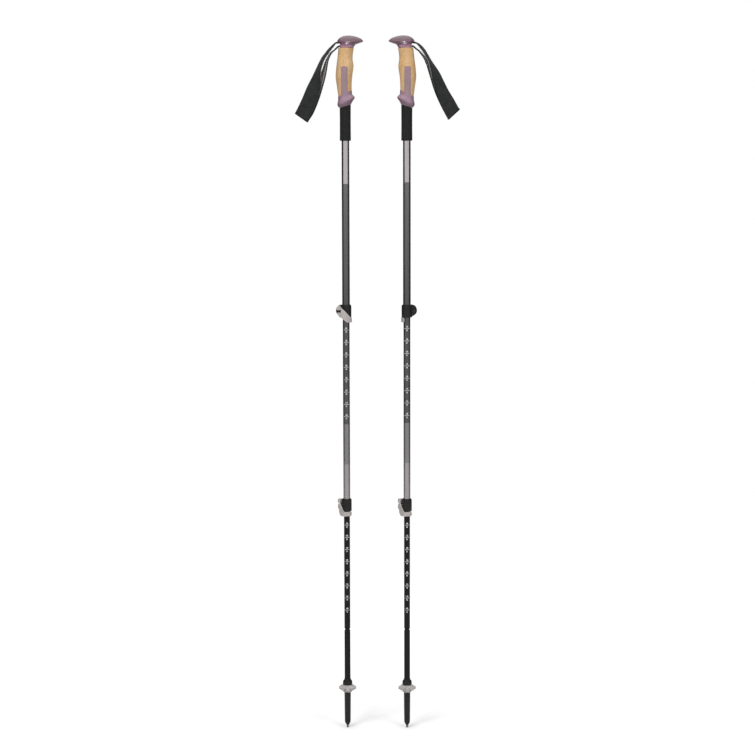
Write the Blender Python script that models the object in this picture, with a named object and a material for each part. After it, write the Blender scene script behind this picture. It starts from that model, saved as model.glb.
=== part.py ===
"""A pair of telescoping trekking poles, each with three sections, two lever locks and a wrist strap.

Both poles are the same design. The left one stands on the Z axis, with the origin at the hand hold
half way up the cork and its beak towards +X. The right one is turned half round beside it.
"""

import math

import bmesh
import bpy
from mathutils import Matrix, Vector

# Driving dimensions, in metres, with angles in degrees

# Where the two poles stand, and how their locks are turned
POLE_SPACING = 0.1215
RIGHT_POLE_FORWARD = 0.002
POLE_TURN = {"left": 0, "right": 180}
LOWER_LOCK_TURN = {"left": -75, "right": 105}

# Telescoping tubes
UPPER_SHAFT_DIAMETER = 0.0152
SHAFT_WALL = 0.00055
SLIDE_CLEARANCE = 0.00025
FIT_GAP = 0.0003
SECTION_OVERLAP = 0.100
UPPER_SHAFT_EXPOSED = 0.3249
MIDDLE_SHAFT_EXPOSED = 0.3674
LOWER_SHAFT_EXPOSED = 0.3476
GROOVE_ABOVE_DOME = 0.1030
GROOVE_LENGTH = 0.0056
GROOVE_DEPTH = 0.0013
# Groove: share of its length from the middle, then share of its depth
GROOVE_PROFILE = ((-0.5, 0), (-0.2, 1), (0.2, 1), (0.5, 0))

# Guide bushes on the top ends of the sliding tubes
BUSH_FLANGE_LENGTH = 0.006
BUSH_SPIGOT_LENGTH = 0.012
BUSH_WALL = 0.0015

# Grip
CORK_LENGTH = 0.0906
CORE_WALL = 0.0016
CORK_MIN_WALL = 0.0016
COLLAR_SLANT = 0.315
COLLAR_HEIGHT = 0.0235
STRIP_LENGTH = 0.0548
STRIP_WIDTH = 0.0128
STRIP_SET_BACK = 0.0015
STRIP_PROUD = 0.0003
STRIP_CORNER = 0.0042
FOAM_LENGTH = 0.0676
FOAM_THICKNESS = 0.0028
FOAM_EDGE = 0.0015
SHAFT_BELOW_HEAD = 0.002
HEAD_SPIGOT_LENGTH = 0.025

# Cork over the core: share of the way down, then the wall to the rear, the front and the sides
CORK_STATIONS = (
    (0.00, 0.0030, 0.0074, 0.0036),
    (0.22, 0.0052, 0.0051, 0.0038),
    (0.40, 0.0073, 0.0069, 0.0050),
    (0.61, 0.0088, 0.0045, 0.0052),
    (0.80, 0.0065, 0.0032, 0.0042),
    (1.00, 0.0038, 0.0030, 0.0032),
)
# Collar over the core: share of its height down, then the same three walls
COLLAR_STATIONS = (
    (0.00, 0.0044, 0.0036, 0.0038),
    (0.28, 0.0044, 0.0042, 0.0040),
    (0.48, 0.0054, 0.0078, 0.0052),
    (0.60, 0.0058, 0.0094, 0.0058),
    (0.72, 0.0054, 0.0072, 0.0054),
    (0.88, 0.0036, 0.0034, 0.0036),
    (1.00, 0.0016, 0.0018, 0.0017),
)
# Head: height over the cork, then the rear and front ends and the half width
HEAD_STATIONS = (
    (0.0003, -0.0124, 0.0172, 0.0130),
    (0.0033, -0.0119, 0.0184, 0.0131),
    (0.0070, -0.0120, 0.0214, 0.0136),
    (0.0105, -0.0136, 0.0300, 0.0152),
    (0.0135, -0.0154, 0.0359, 0.0168),
    (0.0153, -0.0150, 0.0352, 0.0165),
    (0.0186, -0.0122, 0.0313, 0.0142),
    (0.0214, -0.0078, 0.0245, 0.0104),
    (0.0232, -0.0024, 0.0165, 0.0060),
    (0.0239, 0.0030, 0.0110, 0.0022),
)
# How far an outline narrows to the front, and how square the head's neck is in plan
CORK_TAPER = 0.06
CORK_SLANT_POWER = 4
HEAD_TAPER = 0.22
NECK_SQUARENESS = 0.38

# Strap pocket in the head, the cross pin, the wedge and the webbing
POCKET_HALF_WIDTH = 0.0085
POCKET_FLOOR = 0.0021
POCKET_CEILING = 0.0121
POCKET_FRONT = 0.0070
MOUTH_FRONT = -0.0090
STRAP_PIN_RADIUS = 0.0018
STRAP_PIN_LENGTH = 0.0198
STRAP_PIN_X = -0.0045
STRAP_PIN_RISE = 0.0072
WEDGE_THICKNESS = 0.0034
WEDGE_BEVEL = 0.0010
STRAP_THICKNESS = 0.0024
STRAP_ROOT_WIDTH = 0.0158
STRAP_WIDTH = 0.0310
STRAP_FOLD_GAP = 0.0052
STRAP_WIDENING = 0.62
STRAP_STEPS = 14
FOLD_STEPS = 4
# Each band of the straps: distance behind the axis, height over the cork, twist in degrees
OUTER_BAND = {
    "left": (
        (-0.0176, 0.0096, 0),
        (-0.0222, 0.0062, 5),
        (-0.0317, -0.0040, 10),
        (-0.0371, -0.0112, 10),
        (-0.0420, -0.0177, 11),
        (-0.0474, -0.0278, 12),
        (-0.0538, -0.0453, 20),
        (-0.0577, -0.0636, 41),
        (-0.0622, -0.0794, 60),
        (-0.0691, -0.0998, 76),
        (-0.0771, -0.1181, 84),
        (-0.0852, -0.1341, 86),
    ),
    "right": (
        (-0.0176, 0.0096, 0),
        (-0.0228, 0.0074, 3),
        (-0.0284, 0.0036, 8),
        (-0.0340, -0.0034, 14),
        (-0.0399, -0.0135, 18),
        (-0.0474, -0.0273, 20),
        (-0.0543, -0.0418, 26),
        (-0.0590, -0.0545, 34),
        (-0.0640, -0.0685, 46),
        (-0.0718, -0.0887, 62),
        (-0.0818, -0.1097, 77),
        (-0.0915, -0.1283, 86),
    ),
}
INNER_BAND = {
    "left": (
        (-0.0140, 0.0014, 0),
        (-0.0200, -0.0040, 2),
        (-0.0268, -0.0100, 4),
        (-0.0318, -0.0190, 5),
        (-0.0358, -0.0300, 6),
        (-0.0384, -0.0420, 8),
        (-0.0424, -0.0560, 15),
        (-0.0510, -0.0770, 36),
        (-0.0636, -0.1000, 66),
        (-0.0757, -0.1205, 81),
        (-0.0852, -0.1341, 86),
    ),
    "right": (
        (-0.0140, 0.0014, 0),
        (-0.0188, -0.0028, 1),
        (-0.0240, -0.0068, 2),
        (-0.0302, -0.0138, 3),
        (-0.0354, -0.0206, 4),
        (-0.0415, -0.0331, 6),
        (-0.0458, -0.0430, 10),
        (-0.0540, -0.0585, 24),
        (-0.0640, -0.0770, 47),
        (-0.0735, -0.0950, 67),
        (-0.0826, -0.1120, 80),
        (-0.0915, -0.1283, 86),
    ),
}
# Which way each strap turns its outer face
STRAP_HAND = {"left": 1, "right": -1}
# Anchor: distance behind the axis and height over the cork, outside the turn round the pin
ANCHOR_TOP = ((-0.0166, 0.0099), (-0.0120, 0.0105))
ANCHOR_BOTTOM = ((-0.0098, 0.0036), (-0.0134, 0.0018))
ANCHOR_TURN_STEPS = 6

# Lever locks
CLAMP_HEIGHT = 0.0255
CLAMP_WALL = 0.0027
CLAMP_EDGE = 0.0010
CLAMP_SHOULDER = 0.0050
CLAMP_LIP = 0.0015
SPLIT_GAP = 0.0016
EAR_RADIUS = 0.0112
EAR_HALF_THICKNESS = 0.0050
EAR_DEPTH = 0.0115
EAR_INSET = 0.0017
BOLT_DEPTH = 0.0124
BOLT_OUT = 0.0044
BOLT_RADIUS = 0.0015
EYE_RADIUS = 0.0033
EYE_HEIGHT = 0.0044
NUT_RADIUS = 0.0032
NUT_HEIGHT = 0.0034
NUT_PROUD = 0.0005
SCREW_SLOT_WIDTH = 0.0010
SCREW_SLOT_DEPTH = 0.0009
HINGE_PIN_RADIUS = 0.0014
HINGE_PIN_TOP = 0.0034
HINGE_PIN_FOOT = 0.0190
KNUCKLE_RADIUS = 0.0048
KNUCKLE_EDGE = 0.0014
LEVER_ROOT_SINK = 0.0012
LEVER_TOP = 0.0014
LEVER_ROOT_HEIGHT = 0.0236
LEVER_THICKNESS = 0.0024
LEVER_GAP = 0.0006
LEVER_DROP = 0.0094
LEVER_END_RADIUS = 0.0088
LEVER_SLOPE_START = 0.0150
LEVER_SLOPE = 1.34
LEVER_FALL = 0.94
LEVER_FOOT = 0.66
LEVER_TAIL_TUCK = 0.0028
LEVER_TAIL_ROUNDING = 0.0022
# Places round the clamp, in degrees, and the angle between the lever's sections
LEVER_ROOT_INSET = 3.6
LEVER_ROOT_SPREAD = 85
LEVER_TUCK_START = 318
LEVER_TUCK_SPREAD = 44
LEVER_TAIL_ANGLE = 420
LEVER_TAIL_SPREAD = 14
LEVER_STEP = 12

# Tip
DOME_HEIGHT = 0.0126
DOME_RADIUS = 0.0097
DOME_EDGE = 0.0016
DOME_STEPS = 5
SOCKET_DEPTH = 0.026
SOCKET_WALL = 0.0010
BASKET_HEIGHT = 0.0146
BASKET_RADIUS = 0.0177
BASKET_RIM_DROP = 0.0066
BASKET_RIM_THICKNESS = 0.0040
BASKET_HUB_WALL = 0.0019
# Where the basket's upper and lower faces bend, as shares of the way out, and how notched they are there
BASKET_UPPER_BEND = 0.5
BASKET_LOWER_BEND = 0.4
BEND_NOTCH = 0.4
BASKET_LOBES = 8
LOBE_DEPTH = 0.0016
HOLDER_TAPER_LENGTH = 0.0648
HOLDER_TOP_RADIUS = 0.0066
HOLDER_END_RADIUS = 0.0057
CONE_LENGTH = 0.0052
CARBIDE_RADIUS = 0.0022
CARBIDE_EXPOSED = 0.0053
CARBIDE_SEAT = 0.012
CARBIDE_CHAMFER = 0.0007

# How finely round pieces are divided
ROUND_SEGMENTS = 24
GRIP_SEGMENTS = 20
SMALL_SEGMENTS = 12
BASKET_SEGMENTS = 32
GRIP_RINGS = 9
ARC_STEP = 15
CURVE_STEP = 0.01
SMOOTH_ANGLE = 35

# Sizes that follow from the ones above
UPPER_RADIUS = UPPER_SHAFT_DIAMETER / 2
MIDDLE_RADIUS = UPPER_RADIUS - SHAFT_WALL - SLIDE_CLEARANCE
LOWER_RADIUS = MIDDLE_RADIUS - SHAFT_WALL - SLIDE_CLEARANCE
CORE_RADIUS = UPPER_RADIUS + FIT_GAP + CORE_WALL
GRIP_BORE = CORE_RADIUS + FIT_GAP
SLOT_FLOOR = GRIP_BORE + CORK_MIN_WALL
FOAM_RADIUS = UPPER_RADIUS + FIT_GAP + FOAM_THICKNESS
SOCKET_RADIUS = LOWER_RADIUS + FIT_GAP
THREAD_RADIUS = SOCKET_RADIUS + SOCKET_WALL
BASKET_BORE = THREAD_RADIUS + FIT_GAP

# Heights along a pole, from the hand hold
CORK_TOP = CORK_LENGTH / 2
COLLAR_TOP = -CORK_LENGTH / 2
COLLAR_BOTTOM = COLLAR_TOP - COLLAR_HEIGHT
FOAM_BOTTOM = COLLAR_BOTTOM - FOAM_LENGTH
UPPER_LOCK_TOP = FOAM_BOTTOM - UPPER_SHAFT_EXPOSED
LOWER_LOCK_TOP = UPPER_LOCK_TOP - CLAMP_HEIGHT - MIDDLE_SHAFT_EXPOSED
DOME_TOP = LOWER_LOCK_TOP - CLAMP_HEIGHT - LOWER_SHAFT_EXPOSED
BASKET_TOP = DOME_TOP - DOME_HEIGHT
BASKET_BOTTOM = BASKET_TOP - BASKET_HEIGHT
TAPER_END = BASKET_BOTTOM - HOLDER_TAPER_LENGTH
HOLDER_END = TAPER_END - CONE_LENGTH
TIP_END = HOLDER_END - CARBIDE_EXPOSED


def mesh_from(bm, name):
    """Closes a bmesh off as a mesh with its faces pointing out."""
    bmesh.ops.recalc_face_normals(bm, faces=bm.faces)
    mesh = bpy.data.meshes.new(name)
    bm.to_mesh(mesh)
    bm.free()
    return mesh


def turned(profile, segments, ring=False):
    """A solid of revolution about Z from (radius, height) points; ring closes the profile on itself."""
    bm = bmesh.new()
    points = [bm.verts.new((radius, 0, height)) for radius, height in profile]
    lines = [bm.edges.new(pair) for pair in zip(points, points[1:])]
    if ring:
        lines.append(bm.edges.new((points[-1], points[0])))
    bmesh.ops.spin(
        bm,
        geom=points + lines,
        cent=(0, 0, 0),
        axis=(0, 0, 1),
        angle=math.tau,
        steps=segments,
        use_merge=True,
    )
    bmesh.ops.remove_doubles(bm, verts=bm.verts, dist=1e-7)
    return mesh_from(bm, "turned")


def skinned(rings, ring=False, split=False):
    """A solid through rings of points, capped at both ends.

    A ring joins it end to end instead, and a split cuts its faces into triangles.
    """
    bm = bmesh.new()
    rows = [[bm.verts.new(point) for point in points] for points in rings]
    pairs = list(zip(rows, rows[1:]))
    if ring:
        pairs.append((rows[-1], rows[0]))
    else:
        bm.faces.new(rows[0])
        bm.faces.new(rows[-1])
    for near, far in pairs:
        for i in range(len(near)):
            j = (i + 1) % len(near)
            bm.faces.new((near[i], near[j], far[j], far[i]))
    if split:
        bmesh.ops.triangulate(bm, faces=bm.faces)
    return mesh_from(bm, "skinned")


def block(low, high):
    """A box between two corners."""
    size = [b - a for a, b in zip(low, high)]
    middle = [(a + b) / 2 for a, b in zip(low, high)]
    bm = bmesh.new()
    bmesh.ops.create_cube(bm, size=1, matrix=Matrix.Translation(middle) @ Matrix.Diagonal((*size, 1)))
    return mesh_from(bm, "block")


def rod(start, end, radius, segments=SMALL_SEGMENTS):
    """A round bar between two points."""
    start, end = Vector(start), Vector(end)
    turn = (end - start).to_track_quat("Z", "Y").to_matrix().to_4x4()
    bm = bmesh.new()
    bmesh.ops.create_cone(
        bm,
        cap_ends=True,
        segments=segments,
        radius1=radius,
        radius2=radius,
        depth=(end - start).length,
        matrix=Matrix.Translation((start + end) / 2) @ turn,
    )
    return mesh_from(bm, "rod")


def combined(mesh, tool, operation):
    """The mesh after a Boolean with a second mesh."""
    base = bpy.data.objects.new("base", mesh)
    other = bpy.data.objects.new("tool", tool)
    for item in (base, other):
        bpy.context.scene.collection.objects.link(item)
    modifier = base.modifiers.new("combine", "BOOLEAN")
    modifier.operation = operation
    modifier.object = other
    graph = bpy.context.evaluated_depsgraph_get()
    result = bpy.data.meshes.new_from_object(base.evaluated_get(graph))
    for item in (base, other):
        bpy.data.objects.remove(item)
    return result


def cut(mesh, *tools):
    """The mesh with each tool taken out of it."""
    for tool in tools:
        mesh = combined(mesh, tool, "DIFFERENCE")
    return mesh


def joined(mesh, *others):
    """The mesh united with the others as one body."""
    for other in others:
        mesh = combined(mesh, other, "UNION")
    return mesh


def eased(share):
    """A smooth step from 0 to 1."""
    share = min(max(share, 0), 1)
    return share * share * (3 - 2 * share)


def between(stations, at):
    """The smooth curve through the stations, read at one value of their first number."""
    last = len(stations) - 1
    index = 0
    while index < last - 1 and at > stations[index + 1][0]:
        index += 1
    before, start = stations[max(index - 1, 0)], stations[index]
    end, after = stations[index + 1], stations[min(index + 2, last)]
    span = end[0] - start[0]
    share = (at - start[0]) / span
    values = []
    for k in range(1, len(start)):
        slope_in = (end[k] - before[k]) / (end[0] - before[0]) * span
        slope_out = (after[k] - start[k]) / (after[0] - start[0]) * span
        rise = share * share * (3 - 2 * share)
        values.append(
            start[k] * (1 - rise)
            + end[k] * rise
            + slope_in * share * (1 - share) ** 2
            - slope_out * share * share * (1 - share)
        )
    return values


def egg(rear, front, half_width, taper, height, slant=0.0, squareness=0.0):
    """A ring of points round an egg shape that narrows to the front; slant lifts the front."""
    middle = (front + rear) / 2
    reach = (front - rear) / 2
    points = []
    for i in range(GRIP_SEGMENTS):
        angle = math.tau * i / GRIP_SEGMENTS
        x = middle + reach * math.cos(angle)
        side = math.copysign(abs(math.sin(angle)) ** (1 - squareness), math.sin(angle))
        y = half_width * side * (1 - taper * math.cos(angle))
        points.append((x, y, height + slant * x))
    return points


def circle(radius, height, slant=0.0, segments=GRIP_SEGMENTS):
    """A ring of points round the pole axis."""
    points = []
    for i in range(segments):
        angle = math.tau * i / segments
        x = radius * math.cos(angle)
        points.append((x, radius * math.sin(angle), height + slant * x))
    return points


def cork_rings(proud, extra_length):
    """Rings of the cork's outside, pushed out by proud and run on past its lower end."""
    rings = []
    for i in range(GRIP_RINGS + 1):
        share = i / GRIP_RINGS
        rear, front, side = (GRIP_BORE + wall + proud for wall in between(CORK_STATIONS, share))
        height = CORK_TOP - share * CORK_LENGTH
        rings.append(egg(-rear, front, side, CORK_TAPER, height, COLLAR_SLANT * share**CORK_SLANT_POWER))
    if extra_length:
        rings.append([(x, y, z - extra_length) for x, y, z in rings[-1]])
    return rings


def strip_prism(side, clearance):
    """The outline of a side strip run out to +Y or -Y, wider all round by the clearance."""
    half = STRIP_WIDTH / 2 + clearance
    top = COLLAR_TOP + STRIP_LENGTH + clearance
    foot = COLLAR_TOP - COLLAR_HEIGHT / 2
    outline = [(-half, foot), (half, foot)]
    for centre, start in ((half - STRIP_CORNER, 0), (STRIP_CORNER - half, 90)):
        for step in range(0, 91, 2 * ARC_STEP):
            angle = math.radians(start + step)
            x = centre + STRIP_CORNER * math.cos(angle)
            outline.append((x, top - STRIP_CORNER + STRIP_CORNER * math.sin(angle)))
    depths = (side * (SLOT_FLOOR - clearance), side * 3 * GRIP_BORE)
    return skinned([[(x - STRIP_SET_BACK, y, z) for x, z in outline] for y in depths])


def cork_mesh():
    """The cork sleeve, slotted on both sides for the rubber strips."""
    bore = [circle(GRIP_BORE, COLLAR_TOP, COLLAR_SLANT), circle(GRIP_BORE, CORK_TOP)]
    body = skinned(cork_rings(0, 0) + bore, ring=True)
    return cut(body, *[strip_prism(side, FIT_GAP) for side in (1, -1)])


def collar_mesh():
    """The slanted rubber ring under the cork, with its front peg and a strip up each side."""
    rings = []
    for share, rear, front, side in COLLAR_STATIONS:
        height = COLLAR_TOP - FIT_GAP - share * (COLLAR_HEIGHT - FIT_GAP)
        reach = [GRIP_BORE + wall for wall in (rear, front, side)]
        rings.append(egg(-reach[0], reach[1], reach[2], CORK_TAPER, height, COLLAR_SLANT))
    ends = (COLLAR_BOTTOM, COLLAR_TOP - FIT_GAP)
    bore = [circle(GRIP_BORE, height, COLLAR_SLANT) for height in ends]
    body = skinned(rings + bore, ring=True)
    for side in (1, -1):
        shape = skinned(cork_rings(STRIP_PROUD, COLLAR_HEIGHT))
        body = joined(body, combined(shape, strip_prism(side, 0), "INTERSECT"))
    return body


def core_mesh():
    """The sleeve between the shaft and the cork."""
    bore = UPPER_RADIUS + FIT_GAP
    rings = [
        circle(CORE_RADIUS, CORK_TOP),
        circle(CORE_RADIUS, COLLAR_BOTTOM, COLLAR_SLANT),
        circle(bore, COLLAR_BOTTOM, COLLAR_SLANT),
        circle(bore, CORK_TOP),
    ]
    return skinned(rings, ring=True)


def foam_mesh():
    """The foam tube under the collar, with its top cut to the collar's slant."""
    bore = UPPER_RADIUS + FIT_GAP
    top = COLLAR_BOTTOM - FIT_GAP
    rings = [
        circle(FOAM_RADIUS, top, COLLAR_SLANT),
        circle(FOAM_RADIUS, FOAM_BOTTOM + FOAM_EDGE),
        circle(FOAM_RADIUS - FOAM_EDGE, FOAM_BOTTOM),
        circle(bore, FOAM_BOTTOM),
        circle(bore, top, COLLAR_SLANT),
    ]
    return skinned(rings, ring=True)


def head_mesh():
    """The cap with its beak, a spigot down into the shaft and a pocket for the strap."""
    rings = []
    for rise, rear, front, side in HEAD_STATIONS:
        upper = eased(rise / POCKET_CEILING)
        square = NECK_SQUARENESS * (1 - upper)
        rings.append(egg(rear, front, side, HEAD_TAPER * upper, CORK_TOP + rise, squareness=square))
    spigot_radius = UPPER_RADIUS - SHAFT_WALL - FIT_GAP
    spigot_top = CORK_TOP + POCKET_FLOOR / 2
    spigot_end = CORK_TOP - SHAFT_BELOW_HEAD - HEAD_SPIGOT_LENGTH
    spigot = rod((0, 0, spigot_end), (0, 0, spigot_top), spigot_radius, GRIP_SEGMENTS)
    return cut(joined(skinned(rings), spigot), pocket_prism(), strap_pin_rod(FIT_GAP))


def pocket_prism():
    """The room for the strap in the head, open to the rear and, behind the neck, below."""
    far = 3 * HEAD_STATIONS[0][1]
    outline = [
        (far, -POCKET_FLOOR),
        (MOUTH_FRONT, -POCKET_FLOOR),
        (MOUTH_FRONT, POCKET_FLOOR),
        (POCKET_FRONT, POCKET_FLOOR),
        (POCKET_FRONT, POCKET_CEILING),
        (far, POCKET_CEILING),
    ]
    sides = (-POCKET_HALF_WIDTH, POCKET_HALF_WIDTH)
    return skinned([[(x, y, CORK_TOP + rise) for x, rise in outline] for y in sides])


def strap_pin_rod(clearance):
    """The strap's cross pin, or the hole for it."""
    half = STRAP_PIN_LENGTH / 2 + clearance
    height = CORK_TOP + STRAP_PIN_RISE
    ends = [(STRAP_PIN_X, side * half, height) for side in (-1, 1)]
    return rod(*ends, STRAP_PIN_RADIUS + clearance)


def wedge_mesh():
    """The block in front of the pin that traps the webbing, with its top corner taken off."""
    eye = STRAP_PIN_RADIUS + STRAP_THICKNESS + 2 * FIT_GAP
    rear = STRAP_PIN_X + eye
    low = CORK_TOP + POCKET_FLOOR + FIT_GAP
    high = CORK_TOP + POCKET_CEILING - FIT_GAP
    half = POCKET_HALF_WIDTH - FIT_GAP
    front = rear + WEDGE_THICKNESS
    outline = [
        (rear, low),
        (front, low),
        (front, high - WEDGE_BEVEL),
        (front - WEDGE_BEVEL, high),
        (rear, high),
    ]
    return skinned([[(x, y, z) for x, z in outline] for y in (-half, half)])


def ribbon(stations, thickness):
    """A flat band through (centre, direction across the face, half width vector) stations."""
    rings = []
    for centre, facing, half in stations:
        lift = facing * (thickness / 2)
        rings.append([centre + half + lift, centre - half + lift, centre - half - lift, centre + half - lift])
    return skinned(rings, split=True)


def band_stations(band, outward):
    """Stations down one band of the strap, with its twist; outward is 1 outside and -1 inside."""
    numbered = [(i / (len(band) - 1), *values) for i, values in enumerate(band)]
    stations = []
    for i in range(STRAP_STEPS + 1):
        share = i / STRAP_STEPS
        x, rise, twist = between(numbered, share)
        before = between(numbered, max(share - CURVE_STEP, 0))
        after = between(numbered, min(share + CURVE_STEP, 1))
        along = Vector((after[0] - before[0], 0, after[1] - before[1])).normalized()
        normal = Vector((along.z, 0, -along.x))
        angle = math.radians(twist)
        facing = math.cos(angle) * normal + math.sin(angle) * Vector((0, -1, 0))
        apart = STRAP_FOLD_GAP / 2 * eased(share)
        width = STRAP_ROOT_WIDTH + (STRAP_WIDTH - STRAP_ROOT_WIDTH) * eased(share / STRAP_WIDENING)
        centre = Vector((x, -apart * outward, CORK_TOP + rise))
        across = along.cross(facing).normalized() * (width / 2)
        stations.append((centre, facing, across))
    return stations


def strap_mesh(side):
    """The webbing loop outside the head: down one band, round the fold and up the other."""
    outer = band_stations(OUTER_BAND[side], 1)
    inner = band_stations(INNER_BAND[side], -1)
    top, facing, across = outer[-1]
    end = (top + inner[-1][0]) / 2
    radius = STRAP_FOLD_GAP / 2
    along = facing.cross(across).normalized()
    if along.z > 0:
        along = -along
    fold = []
    for i in range(1, FOLD_STEPS):
        angle = math.pi * i / FOLD_STEPS
        out = math.cos(angle) * facing + math.sin(angle) * along
        fold.append((end + out * radius, out, across))
    back = [(centre, -face, half) for centre, face, half in reversed(inner)]
    mirror = Matrix.Diagonal((1, STRAP_HAND[side], 1))
    stations = [[mirror @ vector for vector in station] for station in outer + fold + back]
    return ribbon(stations, STRAP_THICKNESS)


def anchor_mesh():
    """The webbing inside the head: in along the pocket, round the pin and out again."""
    height = CORK_TOP + STRAP_PIN_RISE
    radius = STRAP_PIN_RADIUS + FIT_GAP + STRAP_THICKNESS / 2
    turn = []
    for i in range(ANCHOR_TURN_STEPS + 1):
        angle = math.pi / 2 - math.pi * i / ANCHOR_TURN_STEPS
        turn.append((STRAP_PIN_X + radius * math.cos(angle), height + radius * math.sin(angle)))
    top = [(x, CORK_TOP + rise) for x, rise in ANCHOR_TOP]
    bottom = [(x, CORK_TOP + rise) for x, rise in ANCHOR_BOTTOM]
    path = [Vector((x, 0, z)) for x, z in top + turn + bottom]
    half = Vector((0, STRAP_ROOT_WIDTH / 2, 0))
    stations = []
    for i, centre in enumerate(path):
        along = path[min(i + 1, len(path) - 1)] - path[max(i - 1, 0)]
        facing = Vector((-along.z, 0, along.x)).normalized()
        stations.append((centre, facing, half))
    return ribbon(stations, STRAP_THICKNESS)


def tube_mesh(radius, top, bottom):
    """A plain tube of the shafts' wall."""
    inner = radius - SHAFT_WALL
    return turned([(inner, bottom), (radius, bottom), (radius, top), (inner, top)], ROUND_SEGMENTS, ring=True)


def lower_shaft_mesh(top, bottom):
    """The lower tube, with a groove rolled into its wall."""
    outer = []
    middle = DOME_TOP + GROOVE_ABOVE_DOME
    for share, depth in GROOVE_PROFILE:
        outer.append((LOWER_RADIUS - depth * GROOVE_DEPTH, middle + share * GROOVE_LENGTH))
    outer = [(LOWER_RADIUS, bottom), *outer, (LOWER_RADIUS, top)]
    inner = [(radius - SHAFT_WALL, height) for radius, height in reversed(outer)]
    return turned(outer + inner, ROUND_SEGMENTS, ring=True)


def bush_mesh(radius, shaft_top):
    """The bush on a tube's top end: a flange that fills the tube above, and a spigot."""
    flange = radius + SLIDE_CLEARANCE / 2
    spigot = radius - SHAFT_WALL - FIT_GAP
    bore = spigot - BUSH_WALL
    low = shaft_top - BUSH_SPIGOT_LENGTH
    seat = shaft_top + FIT_GAP
    high = seat + BUSH_FLANGE_LENGTH
    profile = [(bore, low), (spigot, low), (spigot, seat), (flange, seat), (flange, high), (bore, high)]
    return turned(profile, ROUND_SEGMENTS, ring=True)


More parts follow.
